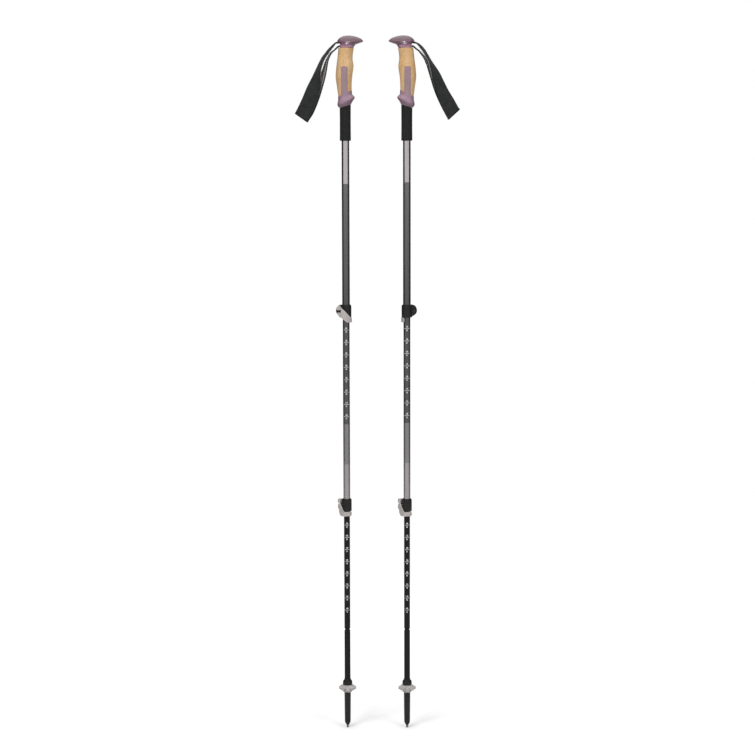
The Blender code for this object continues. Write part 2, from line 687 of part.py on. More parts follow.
class Lock:
    """The pieces of a lever lock, with its origin on the pole axis at the clamp's top."""

    def __init__(self, outer_radius, inner_radius):
        self.bore = outer_radius + FIT_GAP
        self.lip = inner_radius + FIT_GAP
        self.ring = self.bore + CLAMP_WALL
        self.pin_x = -(self.ring + BOLT_OUT)
        self.pin_y = -(EAR_HALF_THICKNESS + FIT_GAP + KNUCKLE_RADIUS)
        self.pin = Vector((self.pin_x, self.pin_y, 0))
        self.meshes = {
            "clamp": self.clamp(),
            "bolt": self.bolt(),
            "adjuster": self.adjuster(),
            "hinge_pin": self.hinge_pin(),
            "lever": self.lever(),
        }

    def clamp(self):
        """The split clamp: a ring with a lip, and the ear beside it."""
        bottom = -CLAMP_HEIGHT
        profile = [
            (self.lip, bottom),
            (self.ring - CLAMP_EDGE, bottom),
            (self.ring, bottom + CLAMP_EDGE),
            (self.ring, -CLAMP_SHOULDER),
            ((self.ring + self.bore + CLAMP_EDGE) / 2, -CLAMP_EDGE),
            (self.bore + CLAMP_EDGE, 0),
            (self.bore, 0),
            (self.bore, bottom + CLAMP_LIP),
            (self.lip, bottom + CLAMP_LIP),
        ]
        ring = turned(profile, ROUND_SEGMENTS, ring=True)
        opening = rod((0, 0, bottom * 2), (0, 0, CLAMP_HEIGHT), self.bore, ROUND_SEGMENTS)
        ear = cut(self.ear(), opening)
        far = 3 * self.pin_x
        split = block((far, -SPLIT_GAP / 2, bottom * 2), (0, SPLIT_GAP / 2, CLAMP_HEIGHT))
        hole = self.across(-2 * EAR_HALF_THICKNESS, 2 * EAR_HALF_THICKNESS, BOLT_RADIUS + FIT_GAP)
        seat = EAR_HALF_THICKNESS + NUT_PROUD - NUT_HEIGHT - FIT_GAP
        recess = self.across(seat, 2 * EAR_HALF_THICKNESS, NUT_RADIUS + FIT_GAP, 2 * SMALL_SEGMENTS)
        return cut(joined(ring, ear), split, hole, recess)

    def ear(self):
        """The ear's outline: a round end, with its underside running in to the clamp's foot."""
        centre_x = EAR_INSET - self.ring
        outline = [(0, EAR_RADIUS - EAR_DEPTH)]
        for angle in range(90, 240, ARC_STEP):
            x = centre_x + EAR_RADIUS * math.cos(math.radians(angle))
            outline.append((x, EAR_RADIUS * math.sin(math.radians(angle)) - EAR_DEPTH))
        outline += [(-self.bore, CLAMP_EDGE - CLAMP_HEIGHT), (0, CLAMP_EDGE - CLAMP_HEIGHT)]
        sides = (-EAR_HALF_THICKNESS, EAR_HALF_THICKNESS)
        return skinned([[(x, y, z) for x, z in outline] for y in sides])

    def across(self, start, end, radius, segments=SMALL_SEGMENTS):
        """A round bar along the bolt's line."""
        return rod((self.pin_x, start, -BOLT_DEPTH), (self.pin_x, end, -BOLT_DEPTH), radius, segments)

    def upright(self, top, bottom, radius, segments=SMALL_SEGMENTS):
        """A round bar along the lever's hinge."""
        return rod((self.pin_x, self.pin_y, bottom), (self.pin_x, self.pin_y, top), radius, segments)

    def bolt(self):
        """The eye bolt: an eye on the hinge pin and a shank through both ears into the nut."""
        half = EYE_HEIGHT / 2
        eye = self.upright(half - BOLT_DEPTH, -half - BOLT_DEPTH, EYE_RADIUS, 2 * SMALL_SEGMENTS)
        shank = self.across(self.pin_y, EAR_HALF_THICKNESS - SCREW_SLOT_DEPTH - 2 * FIT_GAP, BOLT_RADIUS)
        hole = self.upright(0, -2 * BOLT_DEPTH, HINGE_PIN_RADIUS + FIT_GAP)
        return cut(joined(eye, shank), hole)

    def adjuster(self):
        """The round nut in the ear's back, bored for the bolt and slotted for a driver."""
        end = EAR_HALF_THICKNESS + NUT_PROUD
        body = self.across(end - NUT_HEIGHT, end, NUT_RADIUS, 2 * SMALL_SEGMENTS)
        bore = self.across(0, EAR_HALF_THICKNESS - SCREW_SLOT_DEPTH - FIT_GAP, BOLT_RADIUS + FIT_GAP)
        low = (self.pin_x - 2 * NUT_RADIUS, end - SCREW_SLOT_DEPTH, -BOLT_DEPTH - SCREW_SLOT_WIDTH / 2)
        high = (self.pin_x + 2 * NUT_RADIUS, 2 * end, -BOLT_DEPTH + SCREW_SLOT_WIDTH / 2)
        return cut(body, bore, block(low, high))

    def hinge_pin(self):
        """The pin through the lever's two knuckles and the bolt's eye."""
        return self.upright(-HINGE_PIN_TOP, -HINGE_PIN_FOOT, HINGE_PIN_RADIUS)

    def lever(self):
        """The lever: two knuckles on the pin, and a band that falls as it wraps round the clamp."""
        root = math.degrees(math.atan2(self.pin_y, self.pin_x)) % 360
        first = root + LEVER_ROOT_INSET
        count = round((LEVER_TAIL_ANGLE - first) / LEVER_STEP)
        step = (LEVER_TAIL_ANGLE - first) / count
        band = skinned([self.lever_ring(first + step * i, root) for i in range(count + 1)])
        hole = self.upright(0, -CLAMP_HEIGHT, HINGE_PIN_RADIUS + FIT_GAP)
        half = EYE_HEIGHT / 2 + FIT_GAP
        far = 3 * self.pin_x
        low = (far, far, -BOLT_DEPTH - half)
        high = (self.pin_x + KNUCKLE_RADIUS - FIT_GAP, 0, -BOLT_DEPTH + half)
        return cut(joined(self.knuckles(), band), self.lever_trim(), hole, block(low, high))

    def lever_ring(self, angle, root):
        """Four corners of the lever's band at one place round the clamp."""
        wrap = self.ring + LEVER_GAP + LEVER_THICKNESS / 2
        start = self.pin.length - LEVER_ROOT_SINK
        radius = start + (wrap - start) * eased((angle - root) / LEVER_ROOT_SPREAD)
        radius -= LEVER_TAIL_TUCK * eased((angle - LEVER_TUCK_START) / LEVER_TUCK_SPREAD)
        reach = math.cos(math.radians(min(angle, 360))) * wrap
        share = min(max((reach / self.ring + 1) / 2, 0), 1)
        top = LEVER_TOP + (CLAMP_HEIGHT + LEVER_GAP - LEVER_TOP) * min(share / LEVER_FALL, 1)
        foot = CLAMP_HEIGHT + LEVER_DROP - LEVER_ROOT_HEIGHT
        bottom = LEVER_ROOT_HEIGHT + foot * eased(share / LEVER_FOOT)
        end = LEVER_TAIL_ROUNDING * eased((angle - LEVER_TAIL_ANGLE) / LEVER_TAIL_SPREAD + 1)
        x, y = math.cos(math.radians(angle)), math.sin(math.radians(angle))
        inner, outer = radius - LEVER_THICKNESS / 2, radius + LEVER_THICKNESS / 2
        high, low = -top - end, end - bottom
        corners = ((inner, high), (outer, high), (outer, low), (inner, low))
        return [(x * out, y * out, height) for out, height in corners]

    def lever_trim(self):
        """What is taken off the hinge end, so that it is round above and slopes away below."""
        left = self.pin_x - KNUCKLE_RADIUS
        far = 3 * self.pin_x
        centre = (left + LEVER_END_RADIUS, -LEVER_TOP - LEVER_END_RADIUS)
        outline = [(far, CLAMP_HEIGHT), (centre[0], CLAMP_HEIGHT)]
        for angle in range(90, 181, ARC_STEP):
            x = centre[0] + LEVER_END_RADIUS * math.cos(math.radians(angle))
            outline.append((x, centre[1] + LEVER_END_RADIUS * math.sin(math.radians(angle))))
        outline.append((left, -LEVER_SLOPE_START))
        outline.append((0, -LEVER_SLOPE_START + LEVER_SLOPE * left))
        outline += [(0, -3 * CLAMP_HEIGHT), (far, -3 * CLAMP_HEIGHT)]
        return skinned([[(x, y, z) for x, z in outline] for y in (far, 0)])

    def knuckles(self):
        """The barrel round the hinge pin, with its ends rounded off."""
        profile = [
            (0, -LEVER_TOP),
            (KNUCKLE_RADIUS - KNUCKLE_EDGE, -LEVER_TOP),
            (KNUCKLE_RADIUS, -LEVER_TOP - KNUCKLE_EDGE),
            (KNUCKLE_RADIUS, KNUCKLE_EDGE - LEVER_ROOT_HEIGHT),
            (KNUCKLE_RADIUS - KNUCKLE_EDGE, -LEVER_ROOT_HEIGHT),
            (0, -LEVER_ROOT_HEIGHT),
        ]
        barrel = turned(profile, 2 * SMALL_SEGMENTS)
        barrel.transform(Matrix.Translation(self.pin))
        return barrel


def tip_holder_mesh():
    """The plastic tip: a dome, the basket's thread, a taper, and sockets for the shaft and the carbide."""
    socket_end = DOME_TOP - SOCKET_DEPTH
    profile = [(0, socket_end), (SOCKET_RADIUS, socket_end), (SOCKET_RADIUS, DOME_TOP)]
    for i in range(DOME_STEPS + 1):
        angle = math.pi / 2 * i / DOME_STEPS
        radius = THREAD_RADIUS + (DOME_RADIUS - THREAD_RADIUS) * math.sin(angle)
        height = BASKET_TOP + DOME_EDGE + (DOME_HEIGHT - DOME_EDGE) * math.cos(angle)
        profile.append((radius, height))
    profile += [
        (DOME_RADIUS, BASKET_TOP + FIT_GAP),
        (THREAD_RADIUS, BASKET_TOP + FIT_GAP),
        (THREAD_RADIUS, BASKET_BOTTOM),
        (HOLDER_TOP_RADIUS, BASKET_BOTTOM - SOCKET_WALL),
        (HOLDER_END_RADIUS, TAPER_END),
        (CARBIDE_RADIUS + FIT_GAP, HOLDER_END),
        (CARBIDE_RADIUS - FIT_GAP, HOLDER_END),
        (CARBIDE_RADIUS - FIT_GAP, HOLDER_END + CARBIDE_SEAT),
        (0, HOLDER_END + CARBIDE_SEAT),
    ]
    return turned(profile, ROUND_SEGMENTS)


def carbide_mesh():
    """The hard metal tip, with a shank up into its holder and a flat end."""
    shank = CARBIDE_RADIUS - 2 * FIT_GAP
    profile = [
        (0, HOLDER_END + CARBIDE_SEAT - FIT_GAP),
        (shank, HOLDER_END + CARBIDE_SEAT - FIT_GAP),
        (shank, HOLDER_END - FIT_GAP),
        (CARBIDE_RADIUS, HOLDER_END - FIT_GAP),
        (CARBIDE_RADIUS, TIP_END + CARBIDE_CHAMFER),
        (CARBIDE_RADIUS - CARBIDE_CHAMFER, TIP_END),
        (0, TIP_END),
    ]
    return turned(profile, 2 * SMALL_SEGMENTS)


def basket_mesh():
    """The basket: a hub on the thread, and a disc that falls to a notched rim."""
    hub = BASKET_BORE + BASKET_HUB_WALL
    rim_top = BASKET_TOP - BASKET_RIM_DROP + BASKET_RIM_THICKNESS / 2
    rim_bottom = rim_top - BASKET_RIM_THICKNESS
    profile = (
        (hub, BASKET_TOP, 0),
        (hub + (BASKET_RADIUS - hub) * BASKET_UPPER_BEND, (BASKET_TOP + rim_top) / 2, BEND_NOTCH),
        (BASKET_RADIUS, rim_top, 1),
        (BASKET_RADIUS, rim_bottom, 1),
        (hub + (BASKET_RADIUS - hub) * BASKET_LOWER_BEND, rim_bottom - BASKET_RIM_DROP / 3, BEND_NOTCH),
        (hub, BASKET_BOTTOM, 0),
        (BASKET_BORE, BASKET_BOTTOM, 0),
        (BASKET_BORE, BASKET_TOP, 0),
    )
    rings = []
    for radius, height, notched in profile:
        ring = []
        for i in range(BASKET_SEGMENTS):
            angle = math.tau * i / BASKET_SEGMENTS
            wave = (1 - math.cos(BASKET_LOBES * angle)) / 2
            reach = radius - notched * LOBE_DEPTH * wave**2
            ring.append((reach * math.cos(angle), reach * math.sin(angle), height))
        rings.append(ring)
    return skinned(rings, ring=True)


def finish(name, colour, roughness, metallic):
    """A material from the photo's colour."""
    made = bpy.data.materials.new(name)
    made.use_nodes = True
    shader = made.node_tree.nodes["Principled BSDF"]
    shader.inputs["Base Color"].default_value = (*colour, 1)
    shader.inputs["Roughness"].default_value = roughness
    shader.inputs["Metallic"].default_value = metallic
    return made


def empty(name, parent, location=(0, 0, 0), turn=0):
    """A guide that other objects are placed on."""
    made = bpy.data.objects.new(name, None)
    made.parent = parent
    made.location = location
    made.rotation_euler = (0, 0, math.radians(turn))
    bpy.context.scene.collection.objects.link(made)
    return made


def add(name, mesh, material, parent, pivot=(0, 0, 0)):
    """A node from a mesh in its parent's frame, with its own origin at the pivot."""
    mesh = mesh.copy()
    mesh.name = name
    mesh.transform(Matrix.Translation(-Vector(pivot)))
    mesh.materials.clear()
    mesh.materials.append(material)
    mesh.shade_smooth()
    mesh.set_sharp_from_angle(angle=math.radians(SMOOTH_ANGLE))
    made = bpy.data.objects.new(name, mesh)
    made.parent = parent
    made.location = pivot
    bpy.context.scene.collection.objects.link(made)
    return made


def make_finishes():
    """The colours of both poles."""
    return {
        "cork": finish("cork", (0.55, 0.36, 0.21), 0.85, 0),
        "rubber": finish("purple_rubber", (0.15, 0.035, 0.11), 0.45, 0),
        "foam": finish("black_foam", (0.012, 0.012, 0.013), 0.9, 0),
        "webbing": finish("black_webbing", (0.015, 0.015, 0.017), 0.85, 0),
        "plastic": finish("black_plastic", (0.012, 0.012, 0.013), 0.45, 0),
        "lever": finish("satin_lever", (0.52, 0.47, 0.48), 0.35, 0.6),
        "upper": finish("dark_aluminium", (0.10, 0.10, 0.11), 0.35, 0.8),
        "middle": finish("grey_aluminium", (0.20, 0.20, 0.21), 0.35, 0.8),
        "lower": finish("black_aluminium", (0.02, 0.02, 0.022), 0.4, 0.5),
        "steel": finish("steel", (0.45, 0.45, 0.46), 0.3, 1),
        "basket": finish("pale_plastic", (0.62, 0.58, 0.55), 0.4, 0),
        "carbide": finish("carbide", (0.09, 0.09, 0.095), 0.4, 1),
    }


def make_meshes():
    """Every mesh, each made once and shared by both poles, apart from the straps."""
    middle_top = UPPER_LOCK_TOP - CLAMP_HEIGHT + SECTION_OVERLAP
    lower_top = LOWER_LOCK_TOP - CLAMP_HEIGHT + SECTION_OVERLAP
    shaft_end = CLAMP_LIP + FIT_GAP - CLAMP_HEIGHT
    holder_end = DOME_TOP - SOCKET_DEPTH + FIT_GAP
    return {
        "upper_shaft": tube_mesh(UPPER_RADIUS, CORK_TOP - SHAFT_BELOW_HEAD, UPPER_LOCK_TOP + shaft_end),
        "grip_core": core_mesh(),
        "cork_grip": cork_mesh(),
        "grip_head": head_mesh(),
        "grip_collar": collar_mesh(),
        "foam_sleeve": foam_mesh(),
        "strap_pin": strap_pin_rod(0),
        "strap_wedge": wedge_mesh(),
        "strap_anchor": anchor_mesh(),
        "left_strap": strap_mesh("left"),
        "right_strap": strap_mesh("right"),
        "middle_shaft": tube_mesh(MIDDLE_RADIUS, middle_top, LOWER_LOCK_TOP + shaft_end),
        "middle_guide_bush": bush_mesh(MIDDLE_RADIUS, middle_top),
        "lower_shaft": lower_shaft_mesh(lower_top, holder_end),
        "lower_guide_bush": bush_mesh(LOWER_RADIUS, lower_top),
        "tip_holder": tip_holder_mesh(),
        "carbide_tip": carbide_mesh(),
        "basket": basket_mesh(),
    }


def add_lock(prefix, lock, finishes, parent, height, turn):
    """One lever lock on a tube's lower end."""
    place = empty(prefix + "_lock", parent, (0, 0, height), turn)
    add(prefix + "_clamp", lock.meshes["clamp"], finishes["plastic"], place)
    add(prefix + "_bolt", lock.meshes["bolt"], finishes["steel"], place)
    add(prefix + "_adjuster", lock.meshes["adjuster"], finishes["steel"], place)
    add(prefix + "_hinge_pin", lock.meshes["hinge_pin"], finishes["steel"], place, lock.pin)
    add(prefix + "_lever", lock.meshes["lever"], finishes["lever"], place, lock.pin)


def add_pole(side, location, meshes, locks, finishes):
    """One pole: the upper section, with the middle and lower sections sliding in it."""
    upper = empty(side + "_pole", None, location, POLE_TURN[side])
    middle = empty(side + "_middle_section", upper)
    lower = empty(side + "_lower_section", middle)
    hinge_x, hinge_rise, _ = OUTER_BAND[side][0]
    strap_hinge = (hinge_x, 0, CORK_TOP + hinge_rise + STRAP_THICKNESS / 2)
    pieces = (
        ("upper_shaft", "upper", upper, (0, 0, 0)),
        ("grip_core", "plastic", upper, (0, 0, 0)),
        ("cork_grip", "cork", upper, (0, 0, 0)),
        ("grip_head", "rubber", upper, (0, 0, 0)),
        ("grip_collar", "rubber", upper, (0, 0, 0)),
        ("foam_sleeve", "foam", upper, (0, 0, 0)),
        ("strap_pin", "steel", upper, (0, 0, 0)),
        ("strap_wedge", "plastic", upper, (0, 0, 0)),
        ("strap_anchor", "webbing", upper, (0, 0, 0)),
        ("middle_shaft", "middle", middle, (0, 0, 0)),
        ("middle_guide_bush", "plastic", middle, (0, 0, 0)),
        ("lower_shaft", "lower", lower, (0, 0, 0)),
        ("lower_guide_bush", "plastic", lower, (0, 0, 0)),
        ("tip_holder", "plastic", lower, (0, 0, 0)),
        ("carbide_tip", "carbide", lower, (0, 0, 0)),
        ("basket", "basket", lower, (0, 0, BASKET_TOP)),
    )
    for name, look, parent, pivot in pieces:
        add(side + "_" + name, meshes[name], finishes[look], parent, pivot)
    add(side + "_wrist_strap", meshes[side + "_strap"], finishes["webbing"], upper, strap_hinge)
    add_lock(side + "_upper", locks[0], finishes, upper, UPPER_LOCK_TOP, 0)
    add_lock(side + "_lower", locks[1], finishes, middle, LOWER_LOCK_TOP, LOWER_LOCK_TURN[side])


def main():
    """Builds both poles in an empty scene."""
    for item in list(bpy.data.objects):
        bpy.data.objects.remove(item)
    finishes = make_finishes()
    meshes = make_meshes()
    locks = (Lock(UPPER_RADIUS, MIDDLE_RADIUS), Lock(MIDDLE_RADIUS, LOWER_RADIUS))
    add_pole("left", (0, 0, 0), meshes, locks, finishes)
    add_pole("right", (POLE_SPACING, -RIGHT_POLE_FORWARD, 0), meshes, locks, finishes)


main()
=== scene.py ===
"""Looks for a pair of telescoping trekking poles: fine shapes, materials, floor, light and camera.

Shapes are made once in the left pole's frame, whose origin is the hand hold half way up the cork, and
then set down for both poles.
"""

import math

import bmesh
import bpy
from mathutils import Matrix, Vector


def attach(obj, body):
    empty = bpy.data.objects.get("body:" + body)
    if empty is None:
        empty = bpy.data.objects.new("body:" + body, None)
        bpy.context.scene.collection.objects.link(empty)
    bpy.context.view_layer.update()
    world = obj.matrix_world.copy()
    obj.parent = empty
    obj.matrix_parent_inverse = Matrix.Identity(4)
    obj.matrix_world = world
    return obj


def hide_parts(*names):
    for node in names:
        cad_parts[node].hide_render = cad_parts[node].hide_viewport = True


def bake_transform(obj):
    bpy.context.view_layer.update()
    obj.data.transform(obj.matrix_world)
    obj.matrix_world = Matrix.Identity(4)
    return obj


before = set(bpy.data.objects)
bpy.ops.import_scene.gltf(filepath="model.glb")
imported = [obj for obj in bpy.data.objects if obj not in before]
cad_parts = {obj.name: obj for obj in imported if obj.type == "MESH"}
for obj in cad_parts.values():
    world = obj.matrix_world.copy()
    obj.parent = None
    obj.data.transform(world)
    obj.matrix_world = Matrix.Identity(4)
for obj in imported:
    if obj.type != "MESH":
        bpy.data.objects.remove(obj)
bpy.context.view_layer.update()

# Sizes in metres, angles in degrees. Most of them are those of the part itself.
POLE_SPACING = 0.1215
RIGHT_POLE_FORWARD = 0.002
LOWER_LOCK_TURN = {"left": -75, "right": 105}
FIT_GAP = 0.0003
UPPER_RADIUS = 0.0076
MIDDLE_RADIUS = 0.0068
LOWER_RADIUS = 0.0060
SHAFT_WALL = 0.00055
GRIP_BORE = 0.0098

# Lengths down a pole, from the cork to the tip
CORK_LENGTH = 0.0906
COLLAR_HEIGHT = 0.0235
FOAM_LENGTH = 0.0676
UPPER_SHAFT_SHOWN = 0.3249
CLAMP_HEIGHT = 0.0255
MIDDLE_SHAFT_SHOWN = 0.3674
LOWER_SHAFT_SHOWN = 0.3476
DOME_HEIGHT = 0.0126
BASKET_HEIGHT = 0.0146
TAPER_LENGTH = 0.0648
CONE_LENGTH = 0.0052
CARBIDE_SHOWN = 0.0053

# Heights on a pole's axis
CORK_TOP = CORK_LENGTH / 2
COLLAR_TOP = CORK_TOP - CORK_LENGTH
COLLAR_BOTTOM = COLLAR_TOP - COLLAR_HEIGHT
FOAM_BOTTOM = COLLAR_BOTTOM - FOAM_LENGTH
UPPER_LOCK_TOP = FOAM_BOTTOM - UPPER_SHAFT_SHOWN
LOWER_LOCK_TOP = UPPER_LOCK_TOP - CLAMP_HEIGHT - MIDDLE_SHAFT_SHOWN
DOME_TOP = LOWER_LOCK_TOP - CLAMP_HEIGHT - LOWER_SHAFT_SHOWN
BASKET_TOP = DOME_TOP - DOME_HEIGHT
BASKET_BOTTOM = BASKET_TOP - BASKET_HEIGHT
TAPER_END = BASKET_BOTTOM - TAPER_LENGTH
HOLDER_END = TAPER_END - CONE_LENGTH
TIP_END = HOLDER_END - CARBIDE_SHOWN

# Slants of the collar's foot and of the cork's end, which rises as the slant comes in
COLLAR_SLANT = 0.315
CORK_END_SLANT = 0.46
CORK_SLANT_POWER = 4
CORK_LIFT = 0.0018

# Cork over the core: share of the way down, then the wall to the rear, the front and the sides
CORK_STATIONS = (
    (0.00, 0.0030, 0.0074, 0.0036),
    (0.22, 0.0052, 0.0051, 0.0038),
    (0.40, 0.0073, 0.0069, 0.0050),
    (0.61, 0.0088, 0.0045, 0.0052),
    (0.80, 0.0065, 0.0032, 0.0042),
    (1.00, 0.0038, 0.0030, 0.0032),
)
# Collar over the core: share of its height down, then the same three walls
COLLAR_STATIONS = (
    (0.00, 0.0044, 0.0036, 0.0038),
    (0.28, 0.0044, 0.0042, 0.0040),
    (0.48, 0.0054, 0.0078, 0.0052),
    (0.60, 0.0058, 0.0094, 0.0058),
    (0.72, 0.0054, 0.0072, 0.0054),
    (0.88, 0.0036, 0.0034, 0.0036),
    (1.00, 0.0016, 0.0018, 0.0017),
)
# Head: height over the cork, then the rear and front ends and the half width
HEAD_STATIONS = (
    (0.0003, -0.0124, 0.0172, 0.0130),
    (0.0030, -0.0119, 0.0184, 0.0131),
    (0.0062, -0.0120, 0.0214, 0.0136),
    (0.0093, -0.0136, 0.0300, 0.0152),
    (0.0121, -0.0154, 0.0359, 0.0168),
    (0.0140, -0.0150, 0.0352, 0.0165),
    (0.0178, -0.0122, 0.0313, 0.0142),
    (0.0210, -0.0078, 0.0245, 0.0104),
    (0.0231, -0.0024, 0.0165, 0.0060),
    (0.0239, 0.0030, 0.0110, 0.0022),
)
CORK_TAPER = 0.06
CORK_EDGE = 0.0006
HEAD_TAPER = 0.22
NECK_SQUARENESS = 0.38
POCKET_HALF_WIDTH = 0.0085
POCKET_FLOOR = 0.0021
POCKET_CEILING = 0.0121
POCKET_FRONT = 0.0070
MOUTH_FRONT = -0.0090
SPIGOT_LENGTH = 0.027
FOAM_THICKNESS = 0.0031
FOAM_LIP = 0.0015
FOAM_WAIST = 0.0002
FOAM_SLANT_POWER = 6
STRIP_LENGTH = 0.0548
STRIP_WIDTH = 0.0140
STRIP_SET_BACK = 0.0015
STRIP_PROUD = 0.0004
STRIP_CORNER = 0.0042
STRIP_SINK = 0.0010
STRIP_EDGE = 0.0009
STRIP_ROW_POWER = 1.3

# Straps: each band's distance behind the axis, height over the cork and twist, from inside the head on
OUTER_BAND = {
    "left": (
        (-0.0100, 0.0104, 0),
        (-0.0176, 0.0096, 0),
        (-0.0222, 0.0062, 5),
        (-0.0317, -0.0040, 10),
        (-0.0371, -0.0112, 10),
        (-0.0420, -0.0177, 11),
        (-0.0474, -0.0278, 12),
        (-0.0538, -0.0453, 20),
        (-0.0577, -0.0636, 41),
        (-0.0622, -0.0794, 60),
        (-0.0691, -0.0998, 76),
        (-0.0771, -0.1181, 84),
        (-0.0852, -0.1341, 86),
    ),
    "right": (
        (-0.0100, 0.0104, 0),
        (-0.0176, 0.0096, 0),
        (-0.0235, 0.0064, 7),
        (-0.0290, 0.0012, 9),
        (-0.0345, -0.0058, 10),
        (-0.0400, -0.0150, 9),
        (-0.0468, -0.0275, 11),
        (-0.0531, -0.0418, 24),
        (-0.0581, -0.0545, 35),
        (-0.0631, -0.0685, 43),
        (-0.0712, -0.0887, 53),
        (-0.0818, -0.1097, 66),
        (-0.0915, -0.1283, 72),
    ),
}
INNER_BAND = {
    "left": (
        (-0.0098, 0.0036, 0),
        (-0.0140, 0.0014, 0),
        (-0.0200, -0.0040, 2),
        (-0.0270, -0.0100, 5),
        (-0.0326, -0.0190, 8),
        (-0.0370, -0.0300, 13),
        (-0.0400, -0.0420, 17),
        (-0.0446, -0.0560, 24),
        (-0.0540, -0.0770, 40),
        (-0.0660, -0.1000, 66),
        (-0.0762, -0.1205, 81),
        (-0.0852, -0.1341, 86),
    ),
    "right": (
        (-0.0098, 0.0036, 0),
        (-0.0140, 0.0014, 0),
        (-0.0188, -0.0028, 2),
        (-0.0240, -0.0066, 4),
        (-0.0302, -0.0138, 6),
        (-0.0354, -0.0208, 8),
        (-0.0415, -0.0331, 11),
        (-0.0458, -0.0430, 16),
        (-0.0540, -0.0600, 28),
        (-0.0635, -0.0790, 44),
        (-0.0730, -0.0965, 57),
        (-0.0826, -0.1130, 68),
        (-0.0915, -0.1283, 72),
    ),
}
STRAP_HAND = {"left": 1, "right": -1}
STRAP_WIDTH = 0.0310
STRAP_ROOT_WIDTH = 0.0158
STRAP_WIDENING = 0.62
STRAP_THICKNESS = 0.0024
STRAP_FOLD_GAP = 0.0052
# How square the webbing's section is: the smaller the power, the flatter the side
STRAP_FACE_POWER = 0.6
STRAP_EDGE_POWER = 0.22
# How far the fold slants across each strap, and the share of a band over which the slant comes in
FOLD_SLANT = {"left": 8, "right": 14}
FOLD_SLANT_SHARE = 0.3
STRAP_STEPS = 66
FOLD_STEPS = 10
STRAP_SIDES = 28
# Lining: its thickness, what padding adds to it, and where along the loop the padding starts and ends
LINING_THICKNESS = 0.0005
LINING_PADDING = 0.0014
PADDING_START = 0.05
PADDING_END = 0.36
PADDING_EASE = 0.06
LINING_SHARE = 0.86
STITCH_PITCH = 0.0034
STITCH_LENGTH = 0.0021
STITCH_WIDTH = 0.0007
STITCH_LINES = (-0.8, 0.8)

# Lever locks
CLAMP_WALL = 0.0027
CLAMP_EDGE = 0.0010
CLAMP_SHOULDER = 0.0050
CLAMP_LIP = 0.0015
SPLIT_GAP = 0.0016
EAR_RADIUS = 0.0112
EAR_HALF_THICKNESS = 0.0050
EAR_DEPTH = 0.0115
EAR_INSET = 0.0017
EAR_ARC = (90, 230)
BOLT_DEPTH = 0.0124
BOLT_OUT = 0.0044
BOLT_RADIUS = 0.0015
EYE_HEIGHT = 0.0044
NUT_RADIUS = 0.0032
NUT_HEIGHT = 0.0034
NUT_PROUD = 0.0005
HINGE_PIN_RADIUS = 0.0014
KNUCKLE_RADIUS = 0.0048
KNUCKLE_EDGE = 0.0014
LEVER_ROOT_SINK = 0.0012
LEVER_TOP = 0.0014
LEVER_ROOT_HEIGHT = 0.0236
LEVER_THICKNESS = 0.0024
LEVER_GAP = 0.0006
LEVER_DROP = 0.0094
LEVER_END_RADIUS = 0.0088
LEVER_SLOPE_START = 0.0150
LEVER_SLOPE = 1.34
LEVER_FALL = 0.94
LEVER_FOOT = 0.66
LEVER_TAIL_TUCK = 0.0028
LEVER_TAIL_ROUNDING = 0.0022
LEVER_ROOT_INSET = 3.6
LEVER_ROOT_SPREAD = 85
LEVER_TUCK_START = 318
LEVER_TUCK_SPREAD = 44
LEVER_TAIL_ANGLE = 420
LEVER_TAIL_SPREAD = 14
LEVER_STEP = 4
CLAMP_ROUNDING = 0.0004
LEVER_ROUNDING = 0.0005
FASTENER_ROUNDING = 0.0002

# Tip and basket
DOME_RADIUS = 0.0097
DOME_EDGE = 0.0040
DOME_NECK = 0.0026
DOME_NECK_WALL = 0.0004
SOCKET_WALL = 0.0010
THREAD_RADIUS = LOWER_RADIUS + FIT_GAP + SOCKET_WALL
SOCKET_DEPTH = 0.026
HOLDER_TOP_RADIUS = 0.0066
HOLDER_END_RADIUS = 0.0057
# The taper's last flare, and the eased edge where it turns into the cone
TAPER_FLARE = 0.0003
TAPER_FLARE_RISE = 0.0040
CONE_EDGE = 0.0004
CONE_EDGE_RISE = 0.0006
CARBIDE_RADIUS = 0.0022
CARBIDE_SEAT = 0.012
BASKET_RADIUS = 0.0177
BASKET_RIM_DROP = 0.0066
BASKET_RIM_THICKNESS = 0.0054
BASKET_HUB_WALL = 0.0019
BASKET_FOOT = 0.0024
BASKET_EDGE = 0.0005
BASKET_LOBES = 8
LOBE_DEPTH = 0.0038
LOBE_LIFT = 0.0024
GROOVE_HEIGHT = DOME_TOP + 0.1030
GROOVE_LENGTH = 0.0056
GROOVE_DEPTH = 0.0014

# Finishes along the shafts, as heights of the places where they change
BARE_END = -0.2211
BLACK_END = -0.7022
GREY_END = -0.7837
FINISH_SHIFT = {"left": 0, "right": 0.003}
SECTION_OVERLAP = 0.100
UPPER_SHAFT_INSET = 0.002

# Length scale: heights over the tip of the lowest tick, spacing and what the ticks say
SCALE_LOWEST = {"middle": 0.6428, "lower": 0.2463}
SCALE_PITCH = 0.02505
SCALE_CENTIMETRES = (105, 110, 115, 120, 125, 130, 135, 140)
CENTIMETRES_PER_INCH = 2.54
TICK_HALF_ANGLE = 48
TICK_HEIGHT = 0.0007
NUMBER_HEIGHT = 0.0030
NUMBER_GAP = 0.0021
NUMBER_WEIGHT = 0.00018
NUMBER_NARROWING = 0.66
# Height of a digit as a share of the font's size
DIGIT_SHARE = 0.7
PRINT_PROUD = 0.00006

